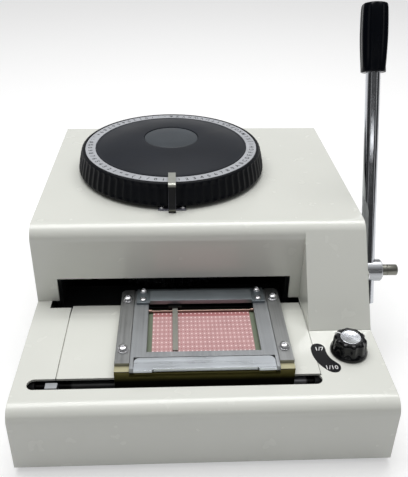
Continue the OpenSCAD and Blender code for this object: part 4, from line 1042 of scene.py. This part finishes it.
@dataclass
class Selector(Assembly):
    """Knob with its cap and nib, and the curved label beside it."""

    x: float = 123.4
    y: float = 60.8
    low: float = 59.3
    top: float = 74.3
    skirt: float = 15.5
    cap_r: float = 8.5
    flutes: int = 10
    flute: float = 1.3
    seat: float = 3.05
    nib_angle: float = 146.0
    figure_h: float = 4.4
    label_top: float = 59.63

    def build(self) -> None:
        """Models the knob's pieces and the label's figures."""
        centre = at(self.x, self.y, 0)
        for bm, name, slot, finish, nodes in (
            (self.knob(), "fluted_knob", "knob_black", KNOB, ("selector_knob",)),
            (self.cap(), "spun_knob_cap", "cap_aluminium", CAP, ("knob_cap",)),
            (self.nib(), "knob_nib", "knob_black", PRINT_WHITE, ()),
        ):
            bmesh.ops.transform(bm, matrix=centre, verts=bm.verts)
            self.piece(bm, name, Body.SELECTOR, slot, finish, nodes)
        self.dress(LABEL, "pitch_label")
        figures = joined([
            (lettering(text, self.figure_h, 0.06), at(x, y, self.label_top))
            for text, x, y in (("1/7", 98.9, 63.4), ("1/10", 104.6, 41.0))
        ])
        self.piece(figures, "label_figures", Body.BASE, "label_black", PRINT_WHITE)

    def knob(self) -> bmesh.types.BMesh:
        """Turns the knob and presses finger flutes into its sides."""
        s, t, low = self.skirt, self.top, self.low
        profile = [(self.seat, low), (s - 0.4, low), (s, low + 0.4), (s, low + 2.1)]
        profile += [(s - 0.5, low + 3.0), (s - 0.9, low + 3.6), (s - 1.2, low + 4.4)]
        profile += [(s - 1.4, low + 6), (s - 1.6, low + 9)]
        profile += [(s - 1.9, t - 2.6), (s - 2.3, t - 1.4), (s - 3.1, t - 0.5), (s - 4.3, t - 0.05)]
        profile += [(self.cap_r + 0.5, t), (self.cap_r + 0.12, t - 0.2), (self.cap_r + 0.1, t - 1)]
        profile += [(self.seat, t - 1)]
        bm = turned(profile, self.flutes * 16, closed=True)
        press_flutes(
            bm, self.flutes, self.flute, s - 4.1,
            hollow=scallop(0.72),
            reach=lambda z: ease(z, low + 3.6, low + 6.0),
        )
        return bm

    def cap(self) -> bmesh.types.BMesh:
        """Turns the cap with a fine dish and a rolled edge."""
        t, r = self.top, self.cap_r
        edge = [(r, t - 1), (r, t - 0.25), (r - 0.3, t), (r - 0.9, t), (r - 1.2, t - 0.12)]
        return turned([(0, t - 1), *edge, (0, t - 0.05)], 72)

    def nib(self) -> bmesh.types.BMesh:
        """Makes the white index line over the knob's shoulder."""
        s, t, wide = self.skirt, self.top, 1.1
        line = [(self.cap_r + 0.4, t + 0.08), (s - 4.3, t + 0.06), (s - 3.0, t - 0.36)]
        line += [(s - 2.1, t - 1.3), (s - 1.8, t - 2.6)]
        under = [(r - 0.35, z - 0.5) for r, z in reversed(line)]
        bm = bmesh.new()
        face = bm.faces.new([bm.verts.new((r, -wide / 2, z)) for r, z in line + under])
        pushed = bmesh.ops.extrude_face_region(bm, geom=[face])["geom"]
        far = [v for v in pushed if isinstance(v, bmesh.types.BMVert)]
        bmesh.ops.translate(bm, verts=far, vec=(0, wide, 0))
        bmesh.ops.recalc_face_normals(bm, faces=bm.faces)
        turn = Matrix.Rotation(math.radians(self.nib_angle), 3, "Z")
        bmesh.ops.rotate(bm, verts=bm.verts, cent=(0, 0, 0), matrix=turn)
        return bm


# Studio ----------------------------------------------------------------------


@dataclass(frozen=True)
class Lamp:
    """A rectangular lamp; place and size are in metres, power in watts."""

    name: str
    spot: tuple[float, float, float]
    size: tuple[float, float]
    power: float


LAMPS = (
    Lamp("softbox_top", (-0.1, 0.25, 1.5), (1.8, 0.7), 15),
    Lamp("softbox_front", (0.1, -0.55, 1.5), (1.6, 0.3), 0.3),
    Lamp("strip_top", (0, 0.51, 1.5), (1.6, 0.06), 2.0),
    Lamp("strip_front", (0, -2.2, 1.1), (2.4, 0.1), 1.5),
    Lamp("strip_left", (-1.5, -1.9, 0.9), (0.3, 3.0), 1.0),
    Lamp("strip_right", (1.9, -1.3, 0.9), (0.3, 3.0), 1.6),
)


@dataclass
class Studio:
    """Floor, backdrop, lights and the camera of the photograph."""

    floor_z: float = -5.0
    eye: tuple[float, float, float] = (-21.92, -328.41, 410.5)
    yaw: float = 2.78
    pitch: float = 29.5
    roll: float = -0.8
    focal: float = 613.32
    frame_px: tuple[int, int] = (408, 477)
    middle_px: tuple[float, float] = (200.68, 217.36)
    sensor: float = 36.0
    aim: tuple[float, float, float] = (0, 0, 0.08)
    floor_half: float = 6.0
    floor_tone: float = 0.84
    floor_glow: float = 0.4
    overhead: float = 1.0
    behind: float = 0.12
    around: float = 0.04

    def build(self) -> None:
        """Sets up everything round the object."""
        self.floor()
        self.world()
        self.lamps()
        self.camera()
        bpy.context.scene.view_settings.view_transform = "Standard"

    def floor(self) -> None:
        """Lays the white floor, which keeps the object's soft shadow."""
        bm = bmesh.new()
        bmesh.ops.create_grid(bm, x_segments=2, y_segments=2, size=self.floor_half)
        bmesh.ops.translate(bm, verts=bm.verts, vec=(0, 0, self.floor_z * MM))
        mesh = bpy.data.meshes.new("floor")
        bm.to_mesh(mesh)
        bm.free()
        made = bpy.data.materials.new("floor_white")
        made.use_nodes = True
        graph = Graph(made.node_tree)
        camera, glossy, through = graph.rays()
        seen = (camera + glossy + through).clamp()
        matt = graph.node("ShaderNodeBsdfDiffuse", {}, {"Color": linear(grey(self.floor_tone))})
        glow, dark = (
            graph.node("ShaderNodeEmission", {}, {"Color": linear(grey(tone)), "Strength": strength})
            for tone, strength in ((1.0, self.floor_glow), (0.0, 0.0))
        )
        lit = graph.node("ShaderNodeMixShader", {}, {0: seen, 1: dark.outputs[0], 2: glow.outputs[0]})
        both = graph.node("ShaderNodeAddShader", {}, {0: matt.outputs[0], 1: lit.outputs[0]})
        graph.node("ShaderNodeOutputMaterial", {}, {"Surface": both.outputs[0]})
        mesh.materials.append(made)
        plane = bpy.data.objects.new("floor", mesh)
        bpy.context.scene.collection.objects.link(plane)

    def world(self) -> None:
        """Makes the room: bright overhead, dark in front, a white backdrop behind."""
        world = bpy.data.worlds.new("studio")
        world.use_nodes = True
        bpy.context.scene.world = world
        graph = Graph(world.node_tree)
        _, back, up = graph.axes(graph.node("ShaderNodeTexCoord").outputs["Generated"])
        lift = up.math("MAXIMUM", 0.0)
        behind = (back * 2.0).clamp()
        room = (lift ** 4.0) * self.overhead + behind * self.behind + self.around
        camera, glossy, through = graph.rays()
        mirrored = (glossy + through).clamp()
        backdrop = behind * (1.35 - lift * 3.2).clamp() * mirrored
        level = room + (1.0 - room) * backdrop
        soft = graph.node("ShaderNodeBackground", {}, {"Color": (1, 1, 1, 1), "Strength": level})
        plain = graph.node("ShaderNodeBackground", {}, {"Color": (1, 1, 1, 1), "Strength": 1.0})
        ends = {0: camera, 1: soft.outputs[0], 2: plain.outputs[0]}
        mixed = graph.node("ShaderNodeMixShader", {}, ends)
        graph.node("ShaderNodeOutputWorld", {}, {"Surface": mixed.outputs[0]})

    def lamps(self) -> None:
        """Hangs the softboxes over the object and the strips that line its bends and rod."""
        aim = Vector(self.aim)
        for lamp in LAMPS:
            spot = Vector(lamp.spot)
            data = bpy.data.lights.new(lamp.name, "AREA")
            data.shape, data.size, data.size_y, data.energy = "RECTANGLE", *lamp.size, lamp.power
            made = bpy.data.objects.new(lamp.name, data)
            made.location = spot
            made.rotation_mode = "QUATERNION"
            made.rotation_quaternion = (aim - spot).to_track_quat("-Z", "Y")
            bpy.context.scene.collection.objects.link(made)

    def camera(self) -> None:
        """Sets the camera up where the photograph was taken from."""
        yaw, pitch, roll = (math.radians(a) for a in (self.yaw, self.pitch, self.roll))
        level = Vector((math.sin(yaw), math.cos(yaw), 0))
        right = Vector((math.cos(yaw), -math.sin(yaw), 0))
        ahead = level * math.cos(pitch) - Vector((0, 0, math.sin(pitch)))
        down = ahead.cross(right)
        across = right * math.cos(roll) + down * math.sin(roll)
        below = down * math.cos(roll) - right * math.sin(roll)
        turn = Matrix((across, -below, -ahead)).transposed()
        data = bpy.data.cameras.new("photo_camera")
        wide, high = self.frame_px
        data.sensor_fit, data.sensor_width = "AUTO", self.sensor
        data.lens = self.focal / high * self.sensor
        data.shift_x = (wide / 2 - self.middle_px[0]) / high
        data.shift_y = (self.middle_px[1] - high / 2) / high
        data.clip_start, data.clip_end = 0.01, 50.0
        made = bpy.data.objects.new("photo_camera", data)
        made.matrix_world = Matrix.Translation(bench(*self.eye)) @ turn.to_4x4()
        bpy.context.scene.collection.objects.link(made)
        bpy.context.scene.camera = made


def main() -> None:
    """Builds the studio and every sub-assembly in order."""
    logging.basicConfig(level=logging.INFO, format="%(name)s: %(message)s")
    Studio().build()
    for assembly in (Casing(), PressFrame(), Dial(), PullLever(), Carriage(), CardHolder(), Selector()):
        assembly.build()
        log.info("%s done", type(assembly).__name__)


if __name__ == "__main__":
    main()
